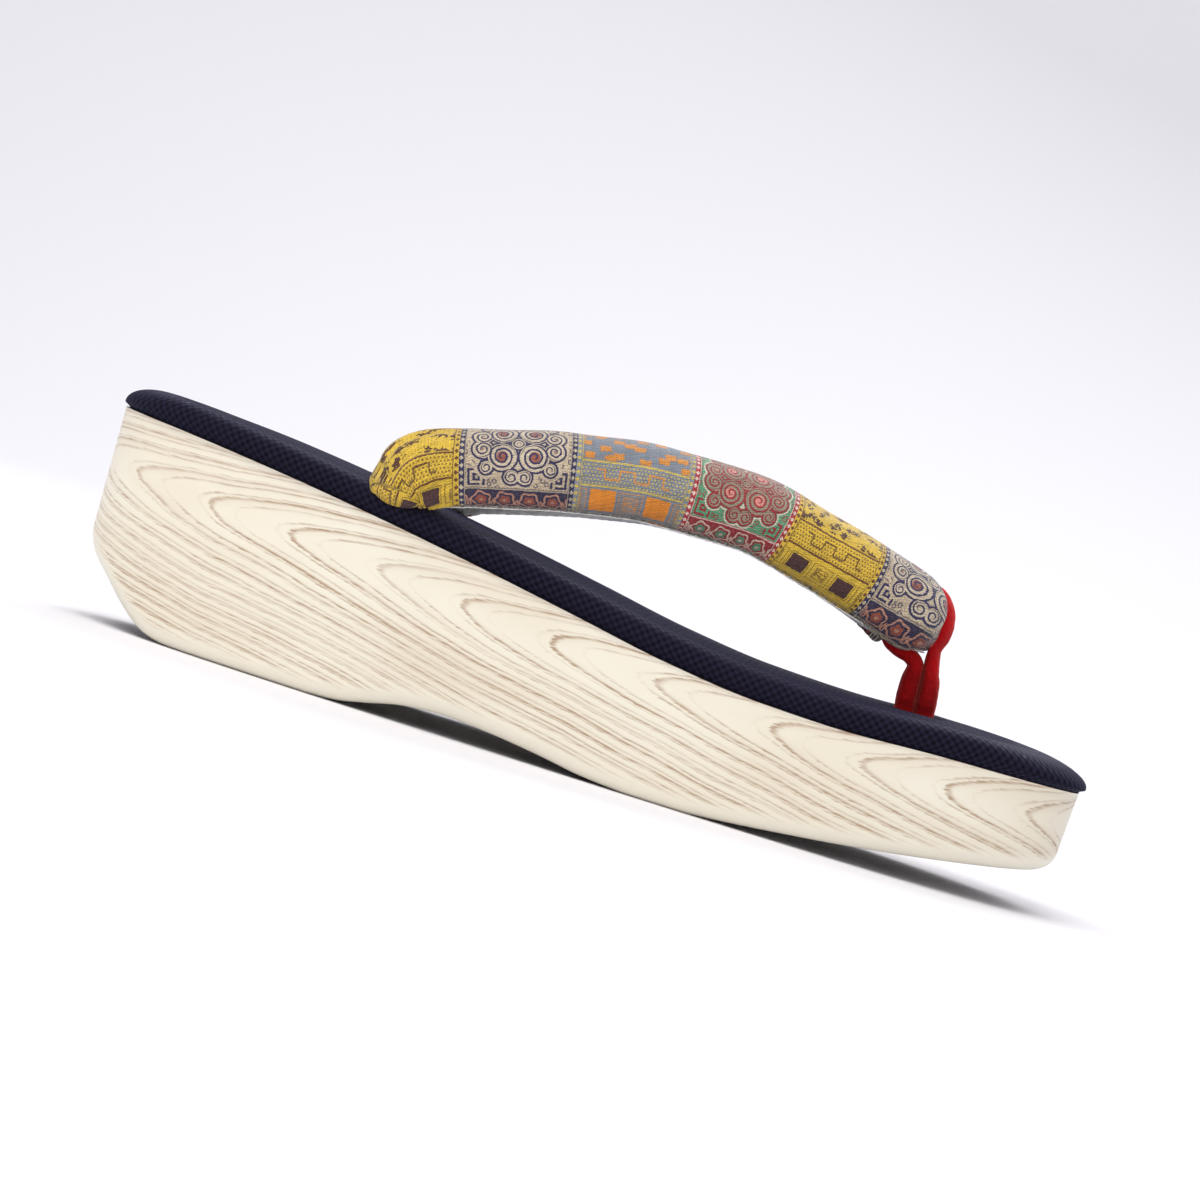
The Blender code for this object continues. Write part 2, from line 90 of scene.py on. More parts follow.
# Strap, felt strip and thong
STRAP_ROOT_FROM_HEEL = 0.0724
STRAP_FRONT_FROM_HEEL = 0.1955
STRAP_SPREAD = 0.0344
STRAP_ARCH = 0.0285
STRAP_HALF_WIDTH = 0.0100
STRAP_HALF_HEIGHT = 0.00865
COVER_FOOT = 0.95
LOWER_POWER = 2.8
PLUG_SHARE = 0.44
FELT_OVERHANG = 0.04
FELT_DEPTH = 1.02
THONG_BAND = 0.0024
THONG_HALF_WIDTH = 0.0055
THONG_LEG_THICKNESS = 0.0044
THONG_LEG_HALF_WIDTH = 0.0066
THONG_BACK_HALF_WIDTH = 0.0025
THONG_NECK_DROP = 0.0002
THONG_LEG_LEAN = 0.0011
THONG_HOLE_FROM_HEEL = 0.2003
LOOP_FROM_DEGREES = -32
LOOP_TO_DEGREES = 200
LOOP_NARROWS_FROM = 60
LOOP_NARROWS_OVER = 75
THONG_FOOT_DROP = 0.0014

# Soft detail: strap's front as shares of its half height and width, then sizes of pits, folds and stitches
FRONT_BELLY = 0.22
FRONT_SHOULDER = 0.06
FRONT_WAIST = 0.06
FRONT_FELT_TUCK = 0.28
LUMP_HEIGHT = 0.00018
FOLD_HEIGHT = 0.00040
PUCKER_HEIGHT = 0.00020
RUFFLE_HEIGHT = 0.00018
PAD_CROWN = 0.0005
ROOT_PIT_RADIUS = 0.0085
ROOT_PIT_DEPTH = 0.0024
THONG_PIT_REACH = 0.0085
THONG_PIT_HALF_WIDTH = 0.0105
THONG_PIT_DEPTH = 0.0019
PIT_SLOPE = 0.45
STITCH_FROM_FRONT = 0.0300
STITCH_FROM_ROOT = 0.0015
THREAD_RADIUS = 0.00016

# Camera of the photograph in this frame
CAMERA_EYE = (0.0585, -0.9253, 0.0605)
CAMERA_AIM = (0.0, -0.005, 0.0400)
CAMERA_UP = (-0.29941, 0.04691, 0.95297)

# Share of the length from the heel, share of the drop from heel to toe
RIM = ((0.00, 1.030), (0.09, 0.950), (0.19, 0.830), (0.29, 0.675), (0.39, 0.490), (0.49, 0.285),
       (0.59, 0.075), (0.68, -0.040), (0.76, -0.065), (0.86, -0.020), (1.00, 0.000))
# Share of the run from the back, share of the rise
HEEL_CUT = ((0.00, 1.000), (0.09, 0.835), (0.25, 0.625), (0.42, 0.370), (0.56, 0.185), (0.70, 0.060),
            (0.84, 0.012), (1.00, 0.000))
ARCH = ((0.00, 0.00), (0.09, 0.10), (0.18, 0.41), (0.30, 0.86), (0.42, 1.00), (0.54, 0.88), (0.70, 0.59),
        (0.86, 0.19), (1.00, 0.00))
SPRING = ((0.00, 0.00), (0.10, 0.07), (0.25, 0.20), (0.50, 0.45), (0.76, 0.77), (0.90, 0.96), (1.00, 1.12))
# Reach, spread, arch, half width, half height as shares, then heading and lean in degrees
STRAP = (
    (1.000, 0.000, 0.755, 0.60, 0.79, 0, 0),
    (0.997, 0.090, 0.754, 0.59, 0.79, 15, 0),
    (0.991, 0.167, 0.756, 0.60, 0.80, 28, 0),
    (0.983, 0.245, 0.793, 0.75, 0.97, 39, 0),
    (0.960, 0.325, 0.830, 0.90, 1.05, 51, 1),
    (0.909, 0.405, 0.867, 1.00, 1.07, 62, 4),
    (0.840, 0.488, 0.915, 1.01, 1.04, 68, 7),
    (0.774, 0.560, 0.958, 1.00, 1.01, 71, 9),
    (0.612, 0.721, 1.015, 1.00, 1.00, 75, 11),
    (0.458, 0.849, 0.928, 1.00, 1.00, 78, 12),
    (0.297, 0.942, 0.740, 1.00, 1.00, 82, 12),
    (0.174, 0.988, 0.545, 1.00, 1.00, 86, 12),
    (0.095, 1.000, 0.412, 1.00, 1.00, 90, 13),
    (0.045, 0.995, 0.318, 0.98, 1.00, 90, 16),
    (0.014, 0.985, 0.215, 0.95, 0.97, 90, 18),
    (0.000, 0.980, 0.100, 0.88, 0.87, 90, 20),
)
# Share of the way down, outer face and width as shares of the leg's
LEG = ((0.02, 0.78, 0.80), (0.25, 0.88, 0.92), (0.50, 1.06, 1.00), (0.80, 1.12, 0.99), (1.00, 1.10, 0.86))
# Behind and below the strap's middle as shares of the loop, thickness share, width share
NECK = ((0.97, 0.62, 1.00, 0.545), (0.76, 0.85, 1.05, 0.620), (0.44, 0.94, 1.30, 0.740), (0.10, 0.97, 1.60, 0.840))
# Distance from the thong along the strap in mm at which the cloth's designs change
DESIGN_BORDERS = (25.5, 49.0, 73.0, 99.0, 124.5, 150.0)
# Travel round the block from the heel in mm, depth of the grain's arch tips below the rim in mm
TIP_LINE = ((0, 12.0), (33, 13.6), (52, 14.0), (78, 12.3), (99, 10.6), (120, 9.2), (143, 6.6), (168, 5.4),
            (190, 5.0), (216, 5.6), (240, 7.0), (284, 10.0), (330, 13.0), (400, 9.0), (470, 16.0), (570, 12.0))
# Brocade in mm: length of a patch, height of a repeat round the strap, shift of the repeat, middle of its design
PATCH = 27.0
REPEAT = 28.5
REPEAT_SHIFT = 33.0
DESIGN_MIDDLE = 11.0
# Screen colours of the four designs, a row each: ground, fill, line, accent, trim, trim's line, band, band's two
BROCADE_COLOURS = (
    ((214, 178, 52), (192, 176, 150), (118, 126, 138), (72, 148, 110)),
    ((98, 58, 26), (198, 182, 158), (222, 146, 44), (142, 132, 112)),
    ((84, 48, 24), (40, 38, 80), (206, 132, 44), (146, 32, 40)),
    ((140, 96, 36), (150, 84, 66), (196, 128, 50), (206, 132, 122)),
    ((212, 176, 56), (38, 34, 74), (128, 134, 142), (164, 36, 42)),
    ((104, 62, 28), (186, 172, 148), (196, 172, 84), (218, 196, 184)),
    ((190, 152, 42), (44, 36, 66), (112, 116, 124), (140, 32, 40)),
    ((74, 42, 40), (186, 134, 112), (222, 134, 36), (202, 176, 158)),
    ((212, 176, 62), (150, 78, 62), (138, 132, 124), (86, 132, 104)),
)
# Middle along and across, radius and spiral pitch of the medallion's lobes, in mm
LOBES = ((3.7, 3.5, 3.4, 1.12), (8.3, 1.9, 2.3, 0.95), (1.5, 8.3, 1.7, 0.85), (7.4, 6.3, 1.5, 0.8),
         (0.0, 0.0, 1.6, 0.8))


class Number:
    """A number on a shader socket. Arithmetic on it adds Math nodes to its paint."""

    def __init__(self, paint, socket):
        self.paint = paint
        self.socket = socket

    def math(self, operation, *others):
        return self.paint.math(operation, self, *others)

    def __add__(self, other):
        return self.math("ADD", other)

    __radd__ = __add__

    def __sub__(self, other):
        return self.math("SUBTRACT", other)

    def __rsub__(self, other):
        return self.paint.math("SUBTRACT", other, self)

    def __mul__(self, other):
        return self.math("MULTIPLY", other)

    __rmul__ = __mul__

    def __truediv__(self, other):
        return self.math("DIVIDE", other)

    def __rtruediv__(self, other):
        return self.paint.math("DIVIDE", other, self)

    def __mod__(self, other):
        return self.math("FLOORED_MODULO", other)

    def __pow__(self, other):
        return self.math("POWER", other)

    def __abs__(self):
        return self.math("ABSOLUTE")

    def up(self, start, end):
        """0 below start, 1 above end, smooth between; falls instead where end is the lower."""
        return Number(self.paint, self.paint.node(
            "ShaderNodeMapRange", {"interpolation_type": "SMOOTHSTEP"}, {0: self, 1: start, 2: end}))

    def within(self, half, soft):
        """1 where the number is nearer to zero than half."""
        return abs(self).up(half + soft, half - soft)

    def stripes(self, pitch, half, soft):
        """1 in a band of twice half, as a share of the pitch, round the middle of each pitch."""
        return (self / pitch % 1.0 - 0.5).within(half, soft)


class Paint:
    """A material with one Principled shader, and the nodes that are added to it."""

    def __init__(self, name, **constants):
        self.material = bpy.data.materials.new(name)
        self.material.use_nodes = True
        self.tree = self.material.node_tree
        self.shader = self.tree.nodes["Principled BSDF"]
        for socket, value in constants.items():
            self.shader.inputs[socket.replace("_", " ").title().replace("Ior", "IOR")].default_value = value

    def node(self, kind, settings, values, output=0):
        """Adds a node of a kind. Settings are set first, then its sockets get values or links."""
        made = self.tree.nodes.new(kind)
        for name, value in settings.items():
            if name == "stops":
                ramp = made.color_ramp
                ramp.interpolation = "CONSTANT"
                for place, colour in value[1:]:
                    ramp.elements.new(place)
                ramp.elements.remove(ramp.elements[-1])
                for element, (place, colour) in zip(ramp.elements, value):
                    element.position = place
                    element.color = (*colour, 1)
            else:
                setattr(made, name, value)
        for key, value in values.items():
            if isinstance(value, Number):
                value = value.socket
            if isinstance(value, bpy.types.NodeSocket):
                self.tree.links.new(value, made.inputs[key])
            elif key in (6, 7):
                made.inputs[key].default_value = (*value, 1)
            else:
                made.inputs[key].default_value = value
        return made.outputs[output]

    def math(self, operation, *values):
        return Number(self, self.node("ShaderNodeMath", {"operation": operation}, dict(enumerate(values))))

    def uv(self, name):
        """The two numbers of a UV map."""
        place = self.node("ShaderNodeUVMap", {"uv_map": name}, {})
        split = self.node("ShaderNodeSeparateXYZ", {}, {0: place}).node
        return Number(self, split.outputs[0]), Number(self, split.outputs[1])

    def place(self):
        """Object coordinates as three numbers."""
        spot = self.node("ShaderNodeTexCoord", {}, {}, "Object")
        split = self.node("ShaderNodeSeparateXYZ", {}, {0: spot}).node
        return tuple(Number(self, split.outputs[k]) for k in range(3))

    def vector(self, x, y, z=0.0):
        return self.node("ShaderNodeCombineXYZ", {}, {0: x, 1: y, 2: z})

    def noise(self, vector, scale=1.0, detail=2.0, rough=0.5):
        """Noise around zero, about -0.5 to 0.5."""
        values = {"Vector": vector, "Scale": scale, "Detail": detail, "Roughness": rough}
        return Number(self, self.node("ShaderNodeTexNoise", {}, values)) - 0.5

    def cells(self, vector, metric="EUCLIDEAN", exponent=0.5, loose=1.0, flat=False):
        """Distance to the nearest of one scattered point a unit cell, in space or in a plane."""
        settings = {"distance": metric, "feature": "F1", "voronoi_dimensions": "2D" if flat else "3D"}
        values = {"Vector": vector, "Scale": 1.0, "Randomness": loose}
        if metric == "MINKOWSKI":
            values["Exponent"] = exponent
        return Number(self, self.node("ShaderNodeTexVoronoi", settings, values))

    def chance(self, number):
        """One fixed random number from 0 to 1 for each value."""
        return Number(self, self.node("ShaderNodeTexWhiteNoise", {"noise_dimensions": "1D"}, {"W": number}))

    def blend(self, under, over, mask):
        """Colour under with colour over where mask is 1."""
        settings = {"data_type": "RGBA"}
        return self.node("ShaderNodeMix", settings, {0: mask, 6: under, 7: over}, 2)

    def shade(self, colour, amount):
        """Colour darkened or lightened by a factor."""
        grey = self.vector(amount, amount, amount)
        settings = {"data_type": "RGBA", "blend_type": "MULTIPLY"}
        return self.node("ShaderNodeMix", settings, {0: 1.0, 6: colour, 7: grey}, 2)

    def pick(self, number, colours):
        """One of four colours by a whole number from 0 to 3."""
        stops = [(k / 4, colour) for k, colour in enumerate(colours)]
        return self.node("ShaderNodeValToRGB", {"stops": stops}, {0: number / 4 + 0.125})

    def finish(self, colour, roughness=None, height=None, depth=0.0002):
        """Connects colour, roughness and the height that bumps the surface, in depth metres."""
        values = {"Base Color": colour}
        if roughness is not None:
            values["Roughness"] = roughness
        if height is not None:
            bump = {"Height": height, "Distance": depth, "Strength": 1.0}
            values["Normal"] = self.node("ShaderNodeBump", {}, bump)
        for name, value in values.items():
            socket = value.socket if isinstance(value, Number) else value
            if isinstance(socket, bpy.types.NodeSocket):
                self.tree.links.new(socket, self.shader.inputs[name])
            else:
                self.shader.inputs[name].default_value = (*socket, 1)
        return self.material


def linear(red, green, blue):
    """A colour read from a screen, 0 to 255, as linear light."""
    shares = np.array([red, green, blue]) / 255
    return tuple(np.where(shares <= 0.04045, shares / 12.92, ((shares + 0.055) / 1.055) ** 2.4))


# Shapes

def smooth_through(xs, ys, x):
    """Monotone cubic through points with rising xs, read at x; beyond the ends the end values hold."""
    xs = np.asarray(xs, float)
    ys = np.asarray(ys, float)
    x = np.clip(np.asarray(x, float), xs[0], xs[-1])
    step = np.diff(xs)
    slope = np.diff(ys) / step
    tangent = np.zeros(len(xs))
    same_way = slope[:-1] * slope[1:] > 0
    w_before = 2 * step[1:] + step[:-1]
    w_after = step[1:] + 2 * step[:-1]
    with np.errstate(divide="ignore", invalid="ignore"):
        mean = (w_before + w_after) / (w_before / slope[:-1] + w_after / slope[1:])
    tangent[1:-1] = np.where(same_way, mean, 0)
    tangent[0] = slope[0]
    tangent[-1] = slope[-1]
    i = np.clip(np.searchsorted(xs, x, side="right") - 1, 0, len(xs) - 2)
    h = step[i]
    t = (x - xs[i]) / h
    start = (1 + 2 * t) * (1 - t) ** 2 * ys[i] + t * (1 - t) ** 2 * h * tangent[i]
    end = t * t * (3 - 2 * t) * ys[i + 1] + t * t * (t - 1) * h * tangent[i + 1]
    return start + end


def through(table, x):
    """A two-column table read at x."""
    xs, ys = np.asarray(table, float).T
    return smooth_through(xs, ys, x)


def eased(share):
    """Share held between 0 and 1 with smooth ends."""
    share = np.clip(share, 0, 1)
    return share * share * (3 - 2 * share)


def superellipse(angle, power):
    """Unit superellipse at angle: signed powers of cosine and sine with exponent 2 over power."""
    cos, sin = np.cos(angle), np.sin(angle)
    return np.sign(cos) * np.abs(cos) ** (2 / power), np.sign(sin) * np.abs(sin) ** (2 / power)


def waves(u, v, seed, count=24, finest=1.0):
    """Smooth noise of two arrays: a sum of sine waves of random direction, length and phase, about -1 to 1."""
    chance = np.random.default_rng(seed)
    total = np.zeros(np.broadcast(u, v).shape)
    for turn, size, phase in zip(chance.uniform(0, math.tau, count), chance.uniform(0.25, 1, count),
                                 chance.uniform(0, math.tau, count)):
        rate = math.tau * size / finest
        total = total + np.sin(rate * (u * math.cos(turn) + v * math.sin(turn)) + phase)
    return total / math.sqrt(count / 2) / 2


def rim_height(x):
    """Height of the joint between block and pad at x."""
    return TOE_HEIGHT + (HEEL_HEIGHT - TOE_HEIGHT) * through(RIM, (x - HEEL_X) / (TOE_X - HEEL_X))


def pad_top(x):
    """Height of the pad's top face at x."""
    return rim_height(x) + GAP + PAD_THICKNESS


def sole_height(x):
    """Height of the block's underside at x: heel cut, flat, arch, flat, toe spring."""
    height = HEEL_CUT_RISE * through(HEEL_CUT, (x - HEEL_X) / HEEL_CUT_RUN)
    height = height + ARCH_RISE * through(ARCH, (x - HEEL_X - ARCH_START) / ARCH_SPAN)
    return height + TOE_SPRING * through(SPRING, (x - TOE_X + TOE_SPRING_RUN) / TOE_SPRING_RUN)


def outline(steps):
    """Plan outline at even steps: heel, right side, toe, left side. Points, outward normals and travel.

    Each half is a superellipse whose exponent differs at heel and toe, widened towards the ball.
    """
    angle = np.linspace(math.pi, 0, 4001)
    power = np.where(np.cos(angle) < 0, HEEL_SQUARENESS, TOE_SQUARENESS)
    along, across = superellipse(angle, power)
    x = (HEEL_X + TOE_X) / 2 + (TOE_X - HEEL_X) / 2 * along
    y = RIM_WIDTH / 2 * across * (1 + BALL_FLARE * along)
    run = np.concatenate(([0], np.cumsum(np.hypot(np.diff(x), np.diff(y)))))
    even = np.linspace(0, run[-1], steps + 1)
    half = np.stack([np.interp(even, run, x), -np.interp(even, run, y)], axis=1)
    half[0, 1] = 0
    half[-1, 1] = 0
    points = np.vstack([half, (half * [1, -1])[::-1][1:-1]])
    tangent = np.roll(points, -1, axis=0) - np.roll(points, 1, axis=0)
    tangent /= np.linalg.norm(tangent, axis=1)[:, None]
    normals = np.stack([tangent[:, 1], -tangent[:, 0]], axis=1)
    travel = run[-1] / steps * np.arange(2 * steps + 1)
    return points, normals, travel


def ring_at(points, normals, inset, height_of, lift):
    """The outline moved inwards by inset, at height_of(x) + lift."""
    flat = points - normals * np.reshape(inset, (-1, 1))
    return np.column_stack([flat, height_of(flat[:, 0]) + lift])


class Skin:
    """Gathers grids of points into one closed mesh with UV maps."""

    def __init__(self, *maps):
        self.points = []
        self.faces = []
        self.maps = {name: [] for name in maps}
        self.count = 0

    def grid(self, grid, wrap=False, **uvs):
        """Quads over a grid of points (rows, columns, 3). A wrapped grid's UV arrays have one more column."""
        rows, cols = grid.shape[:2]
        r, c = np.mgrid[0:rows - 1, 0:cols if wrap else cols - 1]
        after = (c + 1) % cols
        quads = np.stack([r * cols + c, r * cols + after, (r + 1) * cols + after, (r + 1) * cols + c], axis=-1)
        start = self.count
        self.faces.append(quads.reshape(-1, 4) + start)
        for name, store in self.maps.items():
            uv = np.broadcast_to(uvs[name], (rows, cols + 1 if wrap else cols, 2))
            corners = np.stack([uv[r, c], uv[r, c + 1], uv[r + 1, c + 1], uv[r + 1, c]], axis=-2)
            store.append(corners.reshape(-1, 4, 2))
        self.points.append(grid.reshape(-1, 3))
        self.count += rows * cols
        return start

    def strips(self, ring, **uv):
        """Closes a symmetric ring of vertex numbers across its middle line."""
        count = len(ring)
        i = np.arange(count // 2)
        mirror_i, mirror_j = ring[(count - i) % count], ring[count - i - 1]
        self.faces.append(np.stack([ring[i], ring[i + 1], mirror_j, mirror_i], axis=-1))
        for name, store in self.maps.items():
            store.append(np.broadcast_to(uv[name], (len(i), 4, 2)))

    def fan(self, ring, centre, **uv):
        """Closes a ring of vertex numbers with triangles round a centre."""
        self.points.append(np.reshape(centre, (1, 3)))
        after = np.roll(ring, -1)
        middle = np.full(len(ring), self.count)
        self.faces.append(np.stack([ring, after, middle, middle], axis=-1))
        self.count += 1
        for name, store in self.maps.items():
            store.append(np.broadcast_to(uv[name], (len(ring), 4, 2)))

    def tube(self, grid, cloth, end=0.0):
        """A wrapped grid of sections with a fan over its first and its last section."""
        columns = grid.shape[1]
        start = self.grid(grid, wrap=True, cloth=cloth)
        self.fan(start + np.arange(columns)[::-1], grid[0].mean(axis=0), cloth=(end, 0.0))
        self.fan(start + (len(grid) - 1) * columns + np.arange(columns), grid[-1].mean(axis=0), cloth=(end, 0.0))

    def piece(self, name, paint):
        """The mesh object: repeated points merged, faces turned outwards."""
        points = np.concatenate(self.points)
        quads = np.concatenate(self.faces)
        key = np.round(points / 1e-7).astype(np.int64)
        _, first, same = np.unique(key, axis=0, return_index=True, return_inverse=True)
        points = points[first]
        quads = same.reshape(-1)[quads]
        a, b, c, d = (points[quads[:, k]] for k in range(4))
        volume = np.sum(np.cross(b - a, c - a) * a) + np.sum(np.cross(c - a, d - a) * a)
        order = np.arange(4) if volume > 0 else np.arange(4)[::-1]
        quads = quads[:, order]
        keep = quads != np.roll(quads, 1, axis=1)
        sizes = keep.sum(axis=1)
        real = sizes >= 3
        keep &= real[:, None]
        loops = quads[keep]
        sizes = sizes[real]
        mesh = bpy.data.meshes.new(name)
        mesh.vertices.add(len(points))
        mesh.vertices.foreach_set("co", points.astype(np.float32).ravel())
        mesh.loops.add(len(loops))
        mesh.loops.foreach_set("vertex_index", loops.astype(np.int32))
        mesh.polygons.add(len(sizes))
        mesh.polygons.foreach_set("loop_start", np.concatenate(([0], np.cumsum(sizes)[:-1])).astype(np.int32))
        for label, store in self.maps.items():
            corners = np.concatenate(store)[:, order]
            layer = mesh.uv_layers.new(name=label)
            layer.data.foreach_set("uv", corners[keep].astype(np.float32).ravel())
        mesh.update(calc_edges=True)
        mesh.validate()
        mesh.shade_smooth()
        mesh.materials.append(paint)
        made = bpy.data.objects.new(name, mesh)
        bpy.context.scene.collection.objects.link(made)
        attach(made, BODY)
        return made


def uv_of(u, v):
    """Two arrays as one array of UV pairs."""
    return np.stack(np.broadcast_arrays(u, v), axis=-1)


def strap_frames(half_steps, root_rows):
    """Stations of the whole strap from the right root over the front to the left root.

    The half is the table's curve at even steps, plus given rows (x, y, z, width, height) that lead it into
    the pad. Returns centres, side and up vectors, half widths, half heights and signed distances from the
    front.
    """
    table = np.asarray(STRAP, float)
    root_x, front_x = HEEL_X + STRAP_ROOT_FROM_HEEL, HEEL_X + STRAP_FRONT_FROM_HEEL
    reach = table[:, 0]
    x = root_x + (front_x - root_x) * reach
    base = pad_top(root_x) + (pad_top(front_x) - pad_top(root_x)) * reach
    rows = np.column_stack([x, STRAP_SPREAD * table[:, 1], base + STRAP_ARCH * table[:, 2], table[:, 3:]])
    run = np.concatenate(([0], np.cumsum(np.linalg.norm(np.diff(rows[:, :3], axis=0), axis=1))))
    stations = np.linspace(0, run[-1], half_steps + 1)
    fine = np.column_stack([smooth_through(run, rows[:, k], stations) for k in range(7)])
    tangent = np.gradient(fine[:, :3], stations, axis=0)
    tangent[0] = (0, 1, 0)
    tangent[-1] = (0, 0, -1)
    fine = np.vstack([fine, np.column_stack([root_rows, np.full(len(root_rows), 90.0), np.zeros(len(root_rows))])])
    tangent = np.vstack([tangent, np.tile([0.0, 0, -1], (len(root_rows), 1))])
    steps = np.linalg.norm(np.diff(fine[half_steps:, :3], axis=0), axis=1)
    stations = np.concatenate([stations, stations[-1] + np.cumsum(steps)])
    centre, w, h, head, lean = fine[:, :3], fine[:, 3], fine[:, 4], np.radians(fine[:, 5]), np.radians(fine[:, 6])
    tangent /= np.linalg.norm(tangent, axis=1)[:, None]
    side = np.column_stack([np.cos(head), np.sin(head), np.zeros(len(head))])
    side -= tangent * np.sum(side * tangent, axis=1)[:, None]
    side /= np.linalg.norm(side, axis=1)[:, None]
    up = np.cross(side, tangent)
    cos, sin = np.cos(lean)[:, None], np.sin(lean)[:, None]
    side, up = side * cos - up * sin, up * cos + side * sin
    flip = np.array([1, -1, 1])
    both = [np.vstack([(array * flip)[::-1], array[1:]]) for array in (centre, side, up)]
    w = np.concatenate([w[::-1], w[1:]]) * STRAP_HALF_WIDTH
    h = np.concatenate([h[::-1], h[1:]]) * STRAP_HALF_HEIGHT
    return (*both, w, h, np.concatenate([-stations[::-1], stations[1:]]))


def strap_section(angle):
    """Unit section of the strap: a circle above its widest line and a superellipse below."""
    return superellipse(angle, np.where(np.sin(angle) < 0, LOWER_POWER, 2.0))


def front_bulge(run):
    """0 to 1: how far the strap bulges on both sides of the thong, most at 12 mm from it."""
    off = np.abs(run) - 0.012
    return eased(1 - np.where(off < 0, -off / 0.007, off / 0.013))


def beside_thong(run):
    """0 under the thong and 1 beside it, for each station: keeps lumps from under the band."""
    return eased((np.abs(run) - 0.0085) / 0.006)[:, None]


def seam_angle():
    """Angle below the widest line at which the section reaches the seam's depth."""
    return math.asin(COVER_FOOT ** (LOWER_POWER / 2))


def thong_path(steps):
    """Middle line of the folded band in the XZ plane, with its thickness and half width.

    It climbs the front leg, goes round the strap's front on an ellipse, and comes down the back leg. The
    legs end a little below the pad's top.
    """
    table = np.asarray(STRAP, float)
    front_x = HEEL_X + STRAP_FRONT_FROM_HEEL
    strap_x, strap_z = front_x, pad_top(front_x) + STRAP_ARCH * table[0, 2]
    half_w, half_h = table[0, 3] * STRAP_HALF_WIDTH, table[0, 4] * STRAP_HALF_HEIGHT
    strap_foot = FELT_DEPTH * half_h
    loop_x = half_w + THONG_BAND / 2 - 0.0002
    loop_z = strap_foot + GAP + THONG_BAND / 2
    degrees = np.linspace(LOOP_FROM_DEGREES, LOOP_TO_DEGREES, 15)
    turn = np.radians(degrees)
    back = eased((degrees - LOOP_NARROWS_FROM) / LOOP_NARROWS_OVER)
    x = strap_x + (loop_x + GAP * back) * np.cos(turn)
    z = strap_z + loop_z * np.sin(turn)
    loop_half = THONG_HALF_WIDTH + (THONG_BACK_HALF_WIDTH - THONG_HALF_WIDTH) * back
    loop = np.column_stack([x, z, np.full(len(turn), THONG_BAND), loop_half])
    behind, below, thick_share, wide_share = np.asarray(NECK, float).T
    neck = np.column_stack([strap_x - loop_x * behind, strap_z - loop_z * below, THONG_BAND * thick_share,
                            THONG_HALF_WIDTH * wide_share])
    down, outer, wide = np.asarray(LEG, float).T
    face = outer * THONG_LEG_THICKNESS
    thick = face + 0.00003
    hole_x = HEEL_X + THONG_HOLE_FROM_HEEL
    leg_z = strap_z - strap_foot - THONG_NECK_DROP
    foot_z = max(pad_top(hole_x - face[-1]), pad_top(hole_x + face[-1])) + GAP
    z = leg_z + (foot_z - leg_z) * down
    leg_x = hole_x - THONG_LEG_LEAN * (1 - down)
    front_leg = np.column_stack([leg_x + face - thick / 2, z, thick, wide * THONG_LEG_HALF_WIDTH])
    back_leg = np.column_stack([leg_x - face + thick / 2, z, thick, wide * THONG_LEG_HALF_WIDTH])
    hidden = [1, 0, 1, 1]
    low = [0, float(pad_top(hole_x)) - THONG_FOOT_DROP, 0, 0]
    rows = np.vstack([front_leg[-1] * hidden + low, front_leg[::-1], loop, neck, back_leg[1:],
                      back_leg[-1] * hidden + low])
    run = np.concatenate(([0], np.cumsum(np.hypot(*np.diff(rows[:, :2], axis=0).T))))
    even = np.linspace(0, run[-1], steps + 1)
    return [smooth_through(run, rows[:, k], even) for k in range(4)], even


def dimples(x, y):
    """How far the pad's top is pressed in: a smooth pit round each strap root and under the thong."""
    root_x = HEEL_X + STRAP_ROOT_FROM_HEEL
    root_y = STRAP_SPREAD * STRAP[-1][1]
    hole_x = HEEL_X + THONG_HOLE_FROM_HEEL
    pit = np.zeros(np.broadcast(x, y).shape)
    root = (ROOT_PIT_RADIUS, ROOT_PIT_RADIUS, ROOT_PIT_DEPTH)
    thong = (THONG_PIT_REACH, THONG_PIT_HALF_WIDTH, THONG_PIT_DEPTH)
    for px, py, (rx, ry, deep) in ((root_x, root_y, root), (root_x, -root_y, root), (hole_x, 0.0, thong)):
        far = np.hypot((x - px) / rx, (y - py) / ry)
        pit = np.maximum(pit, deep * eased((1 - far) / PIT_SLOPE))
    return pit


# Finishes

